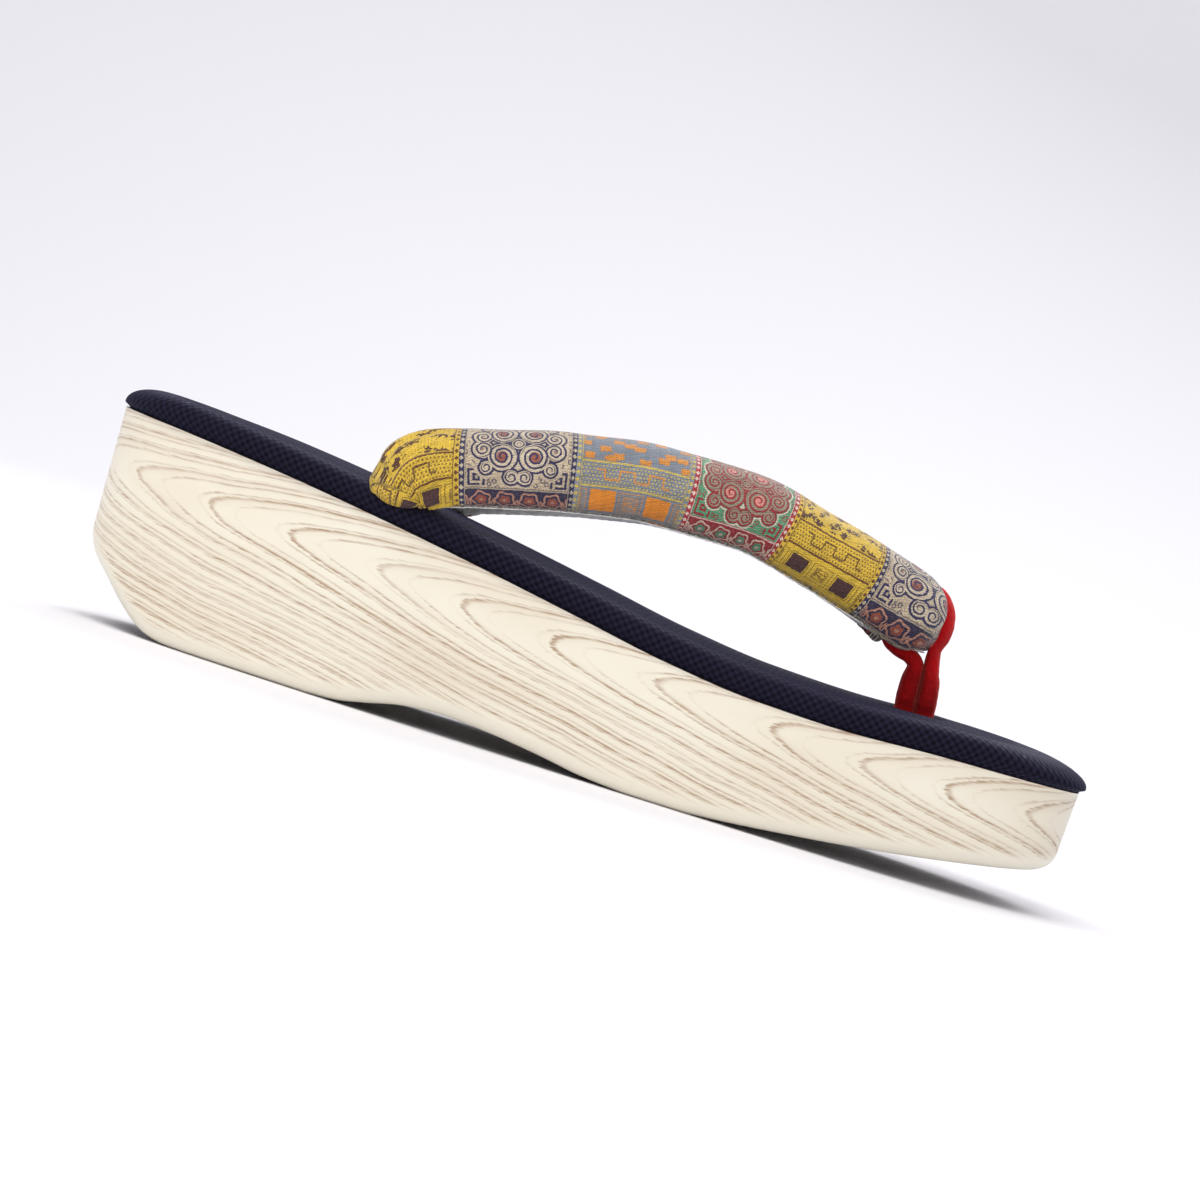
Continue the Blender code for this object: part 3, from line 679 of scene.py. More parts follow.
def paint_block(look):
    """Ivory moulded foam with printed wood grain.

    The grain's arches are the level lines of travel minus a hyperbola of the distance from the tip line,
    shifted by noise. Each line is dark on one side, fades on the other, and is broken into short dashes that
    run along the block.
    """
    p = Paint("block_printed_wood", roughness=0.42, specular_ior_level=0.45)
    travel, off = p.uv("grain")
    edge, under = p.uv("edge")
    bend = p.noise(p.vector(travel / 0.085, off / 0.017), detail=1.0)
    ripple = p.noise(p.vector(travel / 0.021, off / 0.0060, 3.7), detail=2.0)
    wander = p.noise(p.vector(travel / 0.100, 0.0, 8.1), detail=0.0)
    off_tip = (off + wander * 0.009) / MM
    root = (off_tip * off_tip + 7.5 * 7.5).math("SQRT")
    level = travel / MM - 9.0 * (root - 7.5) + bend * 24.0 + ripple * 6.0
    steep = ((off_tip / root * 9.0) ** 2.0 + 1.0).math("SQRT")
    pores = p.noise(p.vector(travel / 0.0052, (off + travel * 0.07) / 0.00040, 1.0), detail=2.0, rough=0.6)
    strands = p.noise(p.vector(travel / 0.022, (off + travel * 0.07) / 0.00075, 6.0), detail=2.0, rough=0.55)
    gaps = p.noise(p.vector(travel / 0.034, level / 12.0, 5.0), detail=2.0)
    broken = pores.up(-0.14, 0.16) * 0.62 + strands.up(-0.16, 0.12) * 0.38
    spacing = look.grain_spacing / MM
    marks = []
    for share, shift, wide, dark in ((1.0, 0.0, 2.3, 1.0), (2.0, 0.30, 1.0, 0.70)):
        ring = (level + pores * 3.4) / spacing * share + shift
        near = (ring % 1.0) * (spacing / share) / steep
        strength = p.chance(ring.math("FLOOR") + shift) * 0.55 + 0.45
        band = wide / steep + 0.55
        line = near.up(band, band * 0.35) * near.up(0.0, band * 0.25)
        fine = 1.0 if share == 1.0 else steep.up(1.6, 4.0) * 0.8 + 0.2
        marks.append(line * strength * dark * fine)
    lines = marks[0].math("MAXIMUM", marks[1])
    halo = ((level / spacing) % 1.0 * spacing / steep).up(3.6, 0.4) * 0.10
    fleck = (pores + strands * 0.6).up(0.12, 0.32) * 0.30
    printed = edge.up(0.0022, 0.0050) * (1.0 - under)
    mask = lines * (0.20 + 0.80 * broken) * (0.45 + 0.55 * gaps.up(-0.20, 0.04)) * 1.4
    mask = (mask + halo + fleck * (lines + 0.16)).math("MINIMUM", 1.0) * printed
    tint = p.noise(p.vector(travel / 0.060, off / 0.020, 2.0), detail=2.0)
    ivory = p.blend(look.ivory, look.ivory_warm, tint.up(-0.15, 0.2) * printed)
    colour = p.blend(ivory, look.grain, mask)
    x, y, z = p.place()
    tread = (x + y).stripes(0.004, 0.30, 0.06) * (x - y).stripes(0.004, 0.30, 0.06)
    peel = p.noise(p.vector(x / 0.0009, y / 0.0009, z / 0.0009), detail=1.0)
    height = peel * 0.25 - mask * 0.6 + tread * under * 4.0
    return p.finish(colour, 0.40 + mask * 0.12 + tint * 0.08 + under * 0.25, height, depth=0.00006)


def paint_pad(look):
    """Dark navy cloth: a diagonal basket weave on the side, fine lengthwise ribs on top and a little dust, with a
    painted sheen that lightens the top face and a painted highlight along the rounded crest.
    """
    p = Paint("pad_navy_cloth", roughness=0.8, sheen_weight=0.05, sheen_roughness=0.5,
              sheen_tint=(0.35, 0.38, 0.9, 1), specular_ior_level=0.07)
    travel, rise = p.uv("cloth")
    x, y, z = p.place()
    top = rise.up(0.0085, 0.0120)
    one = (travel / 0.0021 * math.tau).math("SINE")
    two = (rise / 0.0021 * math.tau).math("SINE")
    basket = one * two
    rib = (y / 0.0011 * math.tau).math("SINE")
    cross = (x / 0.0016 * math.tau + rib * 1.4).math("SINE")
    ribs = rib * 0.65 + cross * 0.35
    weave = basket * (1.0 - top) + ribs * top * 0.8
    cloud = p.noise(p.vector(x / 0.030, y / 0.030, z / 0.030), detail=3.0)
    grit = p.noise(p.vector(x / 0.0007, y / 0.0007, z / 0.0007), detail=2.0)
    dust = p.cells(p.vector(x / 0.0085, y / 0.0085, z / 0.0085)).up(0.075, 0.045)
    # Painted highlight: a lighter band along the rounded crest, where the light from above catches the cloth.
    crest = (rise - 0.0078).within(0.0016, 0.0012)
    # Painted light: the top face is lightened by 45% as painted sheen and the crest band by 55% as a painted
    # highlight; weave, cloud and grit vary the cloth's own tone.
    lift = 1.0 + top * 0.45 + weave * (0.75 - top * 0.35) + cloud * 0.35 + grit * 0.35 + crest * 0.55
    colour = p.shade(look.navy, lift)
    # Dust specks are real dust; the crest is also drawn a little towards the dust colour as part of its painted
    # highlight.
    colour = p.blend(colour, look.dust, dust * 0.30 + crest * 0.05)
    height = weave * 0.6 + grit * 0.5
    return p.finish(colour, 0.80 - weave * 0.06 - crest * 0.15, height, depth=0.00016)


def paint_brocade(look):
    """Woven patchwork of four designs in turn: yellow blocks, beige medallion, grey blocks, red medallion.

    The map's first number counts designs along the strap and its second is the distance round it from the
    ridge. A medallion is a group of round lobes, each filled with a spiral. Block designs have scattered
    marks, a dotted mesh and a row of squares.
    """
    p = Paint("strap_brocade", roughness=0.50, sheen_weight=0.2, sheen_roughness=0.4, specular_ior_level=0.4)
    tile, around = p.uv("cloth")
    jitter = p.noise(p.vector(tile * PATCH, around / MM, 4.0), scale=1.1, detail=2.0)
    design = tile.math("FLOOR") % 4.0
    odd = design % 2.0
    even = 1.0 - odd
    grey = design.up(1.5, 1.6) * even
    x = (tile % 1.0 - 0.5) * PATCH + jitter * 0.45
    y = (around / MM + REPEAT_SHIFT) % REPEAT - DESIGN_MIDDLE + jitter * 0.45
    side, high = abs(x), abs(y)

    ground, fill, line, accent, trim, trim_line, band, band_one, band_two = [
        p.pick(design, [linear(*screen) for screen in row]) for row in BROCADE_COLOURS]

    def lobe(cx, cy, size, pitch):
        """How far outside a round lobe, mirrored four ways, and its spiral line."""
        dx, dy = side - cx, high - cy
        far = (dx * dx + dy * dy).math("SQRT")
        spiral = far / pitch + dy.math("ARCTAN2", dx) / math.tau
        return far - size, ((spiral % 1.0) - 0.5).within(0.21, 0.08) * far.up(0.2, 0.5)

    away, curls = lobe(*LOBES[0])
    for each in LOBES[1:]:
        next_away, next_curls = lobe(*each)
        nearer = (away - next_away).up(-0.01, 0.01)
        curls = curls * (1.0 - nearer) + next_curls * nearer
        away = away.math("MINIMUM", next_away)
    inside = away.up(0.1, -0.1)
    outline_mask = (away - 0.22).within(0.24, 0.08)
    pale_line = (away - 0.78).within(0.14, 0.07) * odd
    curl_mask = curls * away.up(-0.15, -0.35)
    core = away.up(-1.9, -2.2)
    fret_x, fret_y = 9.6 - side, 8.6 - high
    square = abs(fret_x).math("MAXIMUM", abs(fret_y))
    fret = square.stripes(1.15, 0.23, 0.07) * square.up(2.35, 2.2)
    fret = fret * (1.0 - (fret_x + fret_y * 0.4 - 0.4).within(0.30, 0.1) * square.up(0.9, 1.1))
    outer = away.up(1.1, 1.3)
    sprigs = p.cells(p.vector(x / 1.9 + design, y / 1.9), flat=True)
    sprig_mask = (sprigs - 0.24).within(0.075, 0.05) * outer * square.up(2.3, 2.5)
    rows = y.stripes(0.75, 0.13, 0.08)
    rows = rows * ((x / 0.9 + (y / 0.75).math("FLOOR") * 0.5) % 1.0 - 0.5).within(0.33, 0.08)
    medal = (outline_mask + curl_mask + fret * outer + sprig_mask * 0.8).math("MINIMUM", 1.0) * odd

    ragged = p.noise(p.vector(x / 0.7, y / 0.7, 2.0), detail=2.0)
    stray_x = p.noise(p.vector(x / 1.1, y / 1.1, 7.0), detail=1.0) * 1.1
    stray_y = p.noise(p.vector(x / 1.1, y / 1.1, 17.0), detail=1.0) * 1.1
    spots = p.cells(p.vector(x / 3.6 + 9.0 + stray_x, y / 3.0 + stray_y), "MINKOWSKI", 0.7, 0.8, True)
    blocks = p.cells(p.vector(x / 4.4 + 3.0, y / 3.2), "CHEBYCHEV", 0.5, 0.7, True)
    marks = (spots + ragged * 0.9).up(0.50, 0.40) * (1.0 - grey)
    marks = marks + (blocks + ragged * 0.40).up(0.31, 0.26) * grey
    marks = marks * y.up(2.7, 2.3) * even
    mesh_zone = (y - 5.9).within(2.8, 0.08) * even
    row = (y / 0.86).math("FLOOR")
    dots = (x / 0.86 + row * 0.5) % 1.0 - 0.5
    dots = dots.within(0.27, 0.08) * y.stripes(0.86, 0.27, 0.08) * mesh_zone
    key = ((x / 3.4 * math.pi).math("SINE") * 4.0).math("MAXIMUM", -1.0).math("MINIMUM", 1.0)
    key_rise = ((x / 3.4 + 0.5) % 1.0 - 0.5).within(0.055, 0.03) * (y - 5.9).within(1.2, 0.1)
    key_mask = ((y - 5.9 - key * 1.1).within(0.24, 0.10) + key_rise) * mesh_zone * side.up(8.8, 8.4)
    rules = ((y - 2.9).within(0.22, 0.08) + (y - 8.8).within(0.24, 0.08)) * even
    cell = x / 6.75 + 0.5
    cell_x = (cell % 1.0 - 0.5) * 6.75
    other = cell.math("FLOOR") % 2.0
    box = abs(cell_x).math("MAXIMUM", abs(y - 12.6) * (1.25 - grey * 0.25))
    lower = even * y.up(8.9, 9.1)
    boxes = box.up(2.55 + grey * 0.55, 2.40 + grey * 0.55) * lower
    box_lines = ((box - 2.9).within(0.11, 0.07) + (box - 1.75).within(0.12, 0.08) * (1.0 - other)) * lower
    scribble = p.noise(p.vector(x / 1.3, y / 0.8, 6.0), detail=1.0).within(0.045, 0.03) * box.up(1.7, 1.5)

    in_band = y.up(10.9, 11.05) * odd
    flower_x = (x / 5.6 % 1.0 - 0.5) * 5.6
    flower_y = y - 14.3
    flower_r = (flower_x * flower_x + flower_y * flower_y).math("SQRT")
    flower_turn = flower_y.math("ARCTAN2", flower_x)
    petals = 2.15 + 0.24 * (flower_turn * 5.0 + (x / 5.6).math("FLOOR")).math("SINE")
    flower = (flower_r - petals * 0.62).up(0.10, -0.10) * in_band
    flower_line = ((flower_r - petals).within(0.24, 0.08) + (flower_r - 0.45).up(0.15, -0.05)) * in_band
    leaf = (abs(flower_x) - 2.78 + (flower_y * 1.3).math("SINE") * 0.35).within(0.20, 0.08) * in_band
    leaf = leaf * abs(flower_y).up(2.2, 2.0)
    band_rule = (y - 11.25).within(0.16, 0.07) * odd + (y - 17.2).within(0.18, 0.09)

    in_trim = side.up(12.05, 12.2)
    trim_y = (y / 1.7 % 1.0 - 0.5) * 1.7
    diamond = (abs(side - 12.95) * 1.1 + abs(trim_y)).up(0.66, 0.48)
    trim_mask = (diamond + (side - 12.2).within(0.10, 0.06)).math("MINIMUM", 1.0)

    colour = p.blend(ground, accent, rows * odd * 0.55)
    colour = p.blend(colour, fill, inside * odd)
    colour = p.blend(colour, accent, core * odd)
    colour = p.blend(colour, line, medal)
    colour = p.blend(colour, trim_line, pale_line)
    colour = p.blend(colour, line, marks)
    colour = p.blend(colour, trim_line, (dots * 0.75 + rules).math("MINIMUM", 1.0))
    colour = p.blend(colour, line, key_mask * 0.85)
    colour = p.blend(colour, band, in_band)
    colour = p.blend(colour, band_two, flower)
    colour = p.blend(colour, band_one, (flower_line + leaf).math("MINIMUM", 1.0))
    colour = p.blend(colour, band_one, boxes * other)
    colour = p.blend(colour, band_two, boxes * (1.0 - other) * 0.6)
    colour = p.blend(colour, line, (box_lines + scribble * boxes * (1.0 - other)).math("MINIMUM", 1.0) * 0.75)
    colour = p.blend(colour, trim_line, band_rule * 0.8)
    colour = p.blend(colour, trim, in_trim)
    colour = p.blend(colour, trim_line, in_trim * trim_mask)

    pitch = look.thread_pitch / MM
    warp_at, weft_at = x / pitch, (y + x * 0.35) / pitch
    warp = (warp_at * math.tau).math("SINE")
    weft = (weft_at * math.tau).math("SINE")
    threads = warp * weft * 0.55 + weft * 0.45
    strand = p.chance(weft_at.math("FLOOR")) - 0.5 + (p.chance(warp_at.math("FLOOR") + 0.5) - 0.5) * 0.6
    slub = p.noise(p.vector(x / 1.8, y / 0.35, 1.0), detail=2.0)
    grime = p.noise(p.vector(x / 6.0, y / 6.0, design), detail=2.0)
    colour = p.shade(colour, 0.93 + threads * 0.32 + strand * 0.20 + slub * 0.36 + grime * 0.22)
    raised = medal * 0.8 + marks * 0.8 + flower * 0.5 + boxes * 0.4 + in_trim * 0.6
    height = threads * 0.9 + slub * 0.5 + raised
    return p.finish(colour, 0.50 - threads * 0.08 + grime * 0.10, height, depth=0.00014)


def paint_felt(look):
    """White felt: matted fibres as noise stretched two ways, a little greyer in the hollows."""
    p = Paint("felt_white", roughness=0.95, sheen_weight=0.3, sheen_roughness=0.6)
    x, y, z = p.place()
    mat = p.noise(p.vector(x / 0.0022, y / 0.0008, z / 0.0008), detail=4.0, rough=0.65)
    cross = p.noise(p.vector(x / 0.0007, y / 0.0024, z / 0.0020), detail=3.0, rough=0.6)
    fuzz = mat + cross
    colour = p.shade(look.felt, 0.98 + fuzz * 0.35)
    return p.finish(colour, None, fuzz, depth=0.00035)


def paint_thread(look):
    """White sewing thread: a twist of two plies along each stitch."""
    p = Paint("stitch_thread", roughness=0.6, sheen_weight=0.2)
    along, round_it = p.uv("cloth")
    twist = ((along * 9.0 + round_it) * math.tau).math("SINE")
    return p.finish(p.shade(look.felt, 0.92 + twist * 0.08), None, twist, depth=0.00006)


def paint_velvet(look):
    """Red velvet: short nap as fine noise, brushed areas as broad noise, with a strong sheen; the legs under the
    strap are darkened as painted shade.
    """
    p = Paint("thong_velvet", roughness=0.88, sheen_weight=0.75, sheen_roughness=0.3, sheen_tint=(1.0, 0.16, 0.14, 1),
              specular_ior_level=0.15)
    x, y, z = p.place()
    nap = p.noise(p.vector(x / 0.0005, y / 0.0005, z / 0.0009), detail=3.0, rough=0.6)
    brushed = p.noise(p.vector(x / 0.0045, y / 0.0045, z / 0.0070), detail=2.0)
    # Painted shade: below about 48.5 to 44 mm height, the legs under the strap darken by up to 35%.
    leg_painted_shade = z.up(0.0485, 0.0440)
    colour = p.shade(look.red, 1.0 - leg_painted_shade * 0.35 + nap * 0.55 + brushed * 0.55)
    return p.finish(colour, None, nap + brushed * 0.4, depth=0.00030)


def paint_floor(look):
    """Plain matt white paper, hardly mottled."""
    p = Paint("floor_paper", roughness=0.8, specular_ior_level=0.2)
    x, y, z = p.place()
    cloud = p.noise(p.vector(x / 0.4, y / 0.4, z / 0.4), detail=2.0)
    return p.finish(p.shade(look.floor, 1.0 + cloud * 0.02))


# Settings and operators

def colour_property(name, text, red, green, blue):
    """A colour setting whose default is a screen colour."""
    return bpy.props.FloatVectorProperty(name=name, description=text, subtype="COLOR", size=3, min=0, max=1,
                                         default=linear(red, green, blue))


def length_property(name, text, value):
    """A length setting."""
    return bpy.props.FloatProperty(name=name, description=text, default=value, min=0, unit="LENGTH", precision=5)


class ZoriLook(bpy.types.PropertyGroup):
    """Colours and sizes of the sandal's finishes."""

    ivory: colour_property("Ivory", "Foam of the block", 232, 226, 209)
    ivory_warm: colour_property("Warm ivory", "Warmer areas of the block", 224, 215, 195)
    grain: colour_property("Grain", "Printed grain lines", 172, 146, 120)
    grain_spacing: length_property("Grain spacing", "Distance between the tips of the grain's arches", 0.0230)
    navy: colour_property("Navy", "Cloth of the pad", 22, 20, 34)
    # Dust colour: the pad's real dust specks, also mixed a little into the painted highlight on the crest.
    dust: colour_property("Dust", "Specks and painted crest highlight of the pad", 105, 106, 120)
    thread_pitch: length_property("Thread pitch", "Distance between the brocade's threads", 0.0006)
    felt: colour_property("Felt", "Felt strip and stitches", 244, 243, 240)
    stitch_pitch: length_property("Stitch pitch", "Distance between whip stitches", 0.0024)
    red: colour_property("Red", "Velvet of the thong", 176, 12, 18)


class ZoriStage(bpy.types.PropertyGroup):
    """Floor, lights and camera."""

    floor: colour_property("Floor", "Floor and backdrop", 232, 231, 236)
    lens: bpy.props.FloatProperty(name="Lens", description="Focal length on a 36 mm sensor, in mm", default=117.0,
                                  min=20, subtype="NONE")
    sky: bpy.props.FloatProperty(name="Sky", description="Strength of the even light", default=0.62, min=0)
    key: bpy.props.FloatProperty(name="Key", description="Power of the soft light above, in watts", default=14.0,
                                 min=0, subtype="POWER")


class ZORI_OT_block(bpy.types.Operator):
    """Block: printed wall, rounded lower edge and treaded underside"""

    bl_idname = "zori.block"
    bl_label = "Wedge block"

    def execute(self, context):
        """Rings of the drafted outline from the rim down the wall and round the lower edge."""
        points, normals, travel = outline(340)
        draft = END_DRAFT + (SIDE_DRAFT - END_DRAFT) * np.abs(normals[:, 1])
        rim = ring_at(points, normals, 0, rim_height, 0)
        foot = ring_at(points, normals, draft, sole_height, BLOCK_EDGE_RADIUS)
        shares = np.linspace(0, 1, 21)[:, None, None]
        wall = rim + (foot - rim) * shares
        turns = np.linspace(0, math.pi / 2, 9)[1:]
        edge = np.stack([ring_at(points, normals, draft + BLOCK_EDGE_RADIUS * (1 - math.cos(t)), sole_height,
                                 BLOCK_EDGE_RADIUS * (1 - math.sin(t))) for t in turns])
        rings = np.concatenate([wall, edge])
        closed = np.concatenate([rings, rings[:, :1]], axis=1)
        depth = rim_height(closed[..., 0]) - closed[..., 2]
        tips = np.interp(travel / MM, *np.asarray(TIP_LINE, float).T) * MM
        above = closed[..., 2] - sole_height(closed[..., 0])
        skin = Skin("grain", "edge")
        start = skin.grid(rings, wrap=True, grain=uv_of(travel, depth - tips), edge=uv_of(above, 0.0))
        count = len(points)
        skin.strips(start + np.arange(count), grain=(0.0, 0.0), edge=(0.0, 1.0))
        skin.strips(start + (len(rings) - 1) * count + np.arange(count)[::-1], grain=(0.0, 0.0), edge=(0.0, 1.0))
        piece = skin.piece("wedge_block", paint_block(context.scene.zori_look))
        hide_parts("sole_block")
        return {"FINISHED"}


class ZORI_OT_pad(bpy.types.Operator):
    """Pad: tucked lower edge, rounded crest, and a top pressed in where strap and thong enter"""

    bl_idname = "zori.pad"
    bl_label = "Cloth pad"

    def execute(self, context):
        """Rings of the outline up the side and over a quarter ellipse, then rows across the top."""
        half = 330
        points, normals, travel = outline(half)
        nose = eased(1 - np.abs(TOE_X - points[:, 0]) / NOSE_LENGTH)
        heel = eased(1 - np.abs(HEEL_X - points[:, 0]) / HEEL_LENGTH)
        run = SIDE_EDGE_RUN + (NOSE_EDGE_RUN - SIDE_EDGE_RUN) * nose + (HEEL_EDGE_RUN - SIDE_EDGE_RUN) * heel
        drop = SIDE_EDGE_DROP + (END_EDGE_DROP - SIDE_EDGE_DROP) * np.maximum(nose, heel)
        over = PAD_SIDE_OVERHANG * np.abs(normals[:, 1]) + PAD_HEEL_OVERHANG * np.clip(-normals[:, 0], 0, 1)
        over = over + PAD_TOE_OVERHANG * np.clip(normals[:, 0], 0, 1)
        shoulder = PAD_THICKNESS - drop
        ruck = waves(travel[:-1], 0 * travel[:-1], 5, finest=0.012)
        lows = [ring_at(points, normals, PAD_TUCK * (1 - eased(s)) ** 1.6 - over + 0.00008 * ruck * (1 - s),
                        rim_height, GAP + s * shoulder) for s in np.linspace(0, 1, 7)]
        highs = [ring_at(points, normals, run * (1 - math.cos(t)) - over, rim_height,
                         GAP + shoulder + drop * math.sin(t)) for t in np.linspace(0, math.pi / 2, 15)[1:]]
        rings = np.stack(lows + highs)
        crest = rings[-1]
        right, left = crest[:half + 1], crest[np.r_[0, 2 * half - 1:half - 1:-1]]
        shares = np.linspace(0, 1, 73)[:, None]
        top = np.empty((73, half + 1, 3))
        top[..., 0] = right[:, 0]
        top[..., 1] = right[:, 1] * (1 - shares) + left[:, 1] * shares
        inner = np.minimum(shares, 1 - shares) * np.abs(right[:, 1] - left[:, 1])
        ends = np.minimum(right[:, 0] - right[0, 0], right[-1, 0] - right[:, 0])
        crown = PAD_CROWN * eased(inner / 0.012) * eased(ends / 0.030)
        top[..., 2] = right[:, 2] + crown - dimples(top[..., 0], top[..., 1])
        climb = np.concatenate(([0], np.cumsum(np.linalg.norm(np.diff(rings[:, half // 2], axis=0), axis=1))))
        skin = Skin("cloth")
        start = skin.grid(rings, wrap=True, cloth=uv_of(travel, climb[:, None]))
        skin.grid(top, cloth=uv_of(right[:, 0] + 0.3, climb[-1] + 0.004 + inner))
        skin.strips(start + np.arange(2 * half)[::-1], cloth=(0.0, 0.0))
        piece = skin.piece("cloth_pad", paint_pad(context.scene.zori_look))
        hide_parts("footbed")
        return {"FINISHED"}


def pad_fall(x, y):
    """How far the pad's rounded side edge lies below its top: a quarter ellipse inwards from the outline."""
    points = outline(400)[0][:401]
    half = np.interp(x, points[:, 0], -points[:, 1]) + PAD_SIDE_OVERHANG
    inset = np.clip(half - np.abs(y), 0.0007, SIDE_EDGE_RUN)
    return SIDE_EDGE_DROP * (1 - np.sqrt(1 - (1 - inset / SIDE_EDGE_RUN) ** 2))


def root_rows():
    """Stations of the strap's root: x, y, z, width and height shares.

    A bulge comes down onto the pad as a quarter ellipse, then turns in under itself along the pad's pit.
    """
    root_x = HEEL_X + STRAP_ROOT_FROM_HEEL
    top = float(pad_top(root_x))
    wide, tall = STRAP[-1][3], STRAP[-1][4]
    start_z = top + STRAP_ARCH * STRAP[-1][2]
    turn = np.linspace(0, math.pi / 2, 9)[1:]
    down = start_z + (top + 0.0002 - start_z) * np.sin(turn)
    swell = 1 + 0.04 * np.sin(2 * turn) - 0.10 * (1 - np.cos(turn))
    share = np.linspace(0, 1, 8)[1:]
    inward = swell[-1] + (PLUG_SHARE / wide - swell[-1]) * share
    tuck = top + 0.0002 - 0.0021 * eased((1 - inward * wide * STRAP_HALF_WIDTH / ROOT_PIT_RADIUS) / PIT_SLOPE)
    z = np.concatenate([down, tuck])
    size = np.concatenate([swell, inward])
    same = np.ones(len(z))
    return np.column_stack([root_x * same, STRAP_SPREAD * STRAP[-1][1] * same, z, wide * size, tall * size])


class ZORI_OT_strap(bpy.types.Operator):
    """Stuffed strap: brocade tube, gathered at its roots and puckered along its seams"""

    bl_idname = "zori.strap"
    bl_label = "Brocade strap"

    def execute(self, context):
        """Sections along the strap: half an ellipse above, squarer below and cut flat at the seam.

        Sums of waves push the skin out or in: soft lumps, puckers at the seam, folds at the gathered roots.
        """
        look = context.scene.zori_look
        centre, side, up, w, h, run = strap_frames(300, root_rows())
        seam = seam_angle()
        angle = np.linspace(-seam, math.pi + seam, 136)
        wide, tall = strap_section(angle)
        belly = FRONT_BELLY * front_bulge(run)[:, None]
        shoulder = FRONT_SHOULDER * eased(1 - np.abs(np.abs(run) - 0.0090) / 0.006)[:, None]
        waist = FRONT_WAIST * eased(1 - np.abs(run) / 0.0065)[:, None]
        tall = tall * np.where(tall < 0, 1 + belly, 1 + shoulder * 0.6 - waist)
        wide = wide * (1 + shoulder - waist)
        from_root = run[-1] - np.abs(run)
        quiet = beside_thong(run)
        gathered = eased((from_root - 0.0040) / 0.002)[:, None] * eased(1 - (from_root - 0.007) / 0.019)[:, None]
        seam_near = np.maximum(np.exp(-(angle + seam) / 0.20), np.exp(-(math.pi + seam - angle) / 0.20))
        flat_seam = 1 - front_bulge(run)[:, None]
        pucker = np.sin(math.tau * run / look.stitch_pitch)[:, None] * seam_near * flat_seam * PUCKER_HEIGHT
        turns = angle + 0.10 * waves(run, 0 * run, 3, finest=0.02)[:, None]
        low_side = 0.45 + 0.55 * eased((0.9 - np.cos(angle - math.pi / 2)) / 1.2)
        folds = (np.sin(turns * 13) + 0.6 * np.sin(turns * 21 + 1.0)) * gathered * low_side * FOLD_HEIGHT
        lumps = waves(run[:, None], angle * 0.009, 7, finest=0.016) * LUMP_HEIGHT
        push = (lumps + pucker) * quiet * eased(from_root / 0.006)[:, None] + folds
        across = (w[:, None] + push) * wide
        rise = (h[:, None] + push) * tall
        under = np.linspace(0, 1, 14)[1:-1]
        low_across = across[:, -1:] + (across[:, :1] - across[:, -1:]) * under
        low_rise = rise[:, -1:] + (rise[:, :1] - rise[:, -1:]) * under
        low_rise = low_rise + belly * COVER_FOOT * h[:, None] * (1 - np.abs(2 * under - 1) ** 8)
        across = np.concatenate([across, low_across], axis=1)
        rise = np.concatenate([rise, low_rise], axis=1)
        grid = centre[:, None] + across[..., None] * side[:, None] + rise[..., None] * up[:, None]
        near_pad = eased(1 - (grid[..., 2] - pad_top(grid[..., 0])) / 0.011)
        at_root = eased(1 - (from_root - 0.012) / 0.012)[:, None]
        grid[..., 2] -= near_pad * at_root * pad_fall(grid[..., 0], grid[..., 1])
        borders = np.asarray(DESIGN_BORDERS) * MM
        known = np.concatenate([-borders[::-1], borders])
        designs = np.interp(run, known, np.concatenate([np.arange(0.0, 6), np.arange(7.0, 13)]))
        fine_angle = np.linspace(-seam, math.pi + seam, 1201)
        section = np.stack(strap_section(fine_angle), axis=1) * (STRAP_HALF_WIDTH, STRAP_HALF_HEIGHT)
        arc = np.concatenate(([0], np.cumsum(np.linalg.norm(np.diff(section, axis=0), axis=1))))
        around = np.interp(math.pi / 2, fine_angle, arc) - np.interp(angle, fine_angle, arc)
        around = np.concatenate([around, np.linspace(around[-1], around[-1] - 0.012, 13)])
        skin = Skin("cloth")
        skin.tube(grid, uv_of(designs[:, None], around), end=0.1)
        piece = skin.piece("brocade_strap", paint_brocade(look))
        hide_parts("strap_cover")
        return {"FINISHED"}


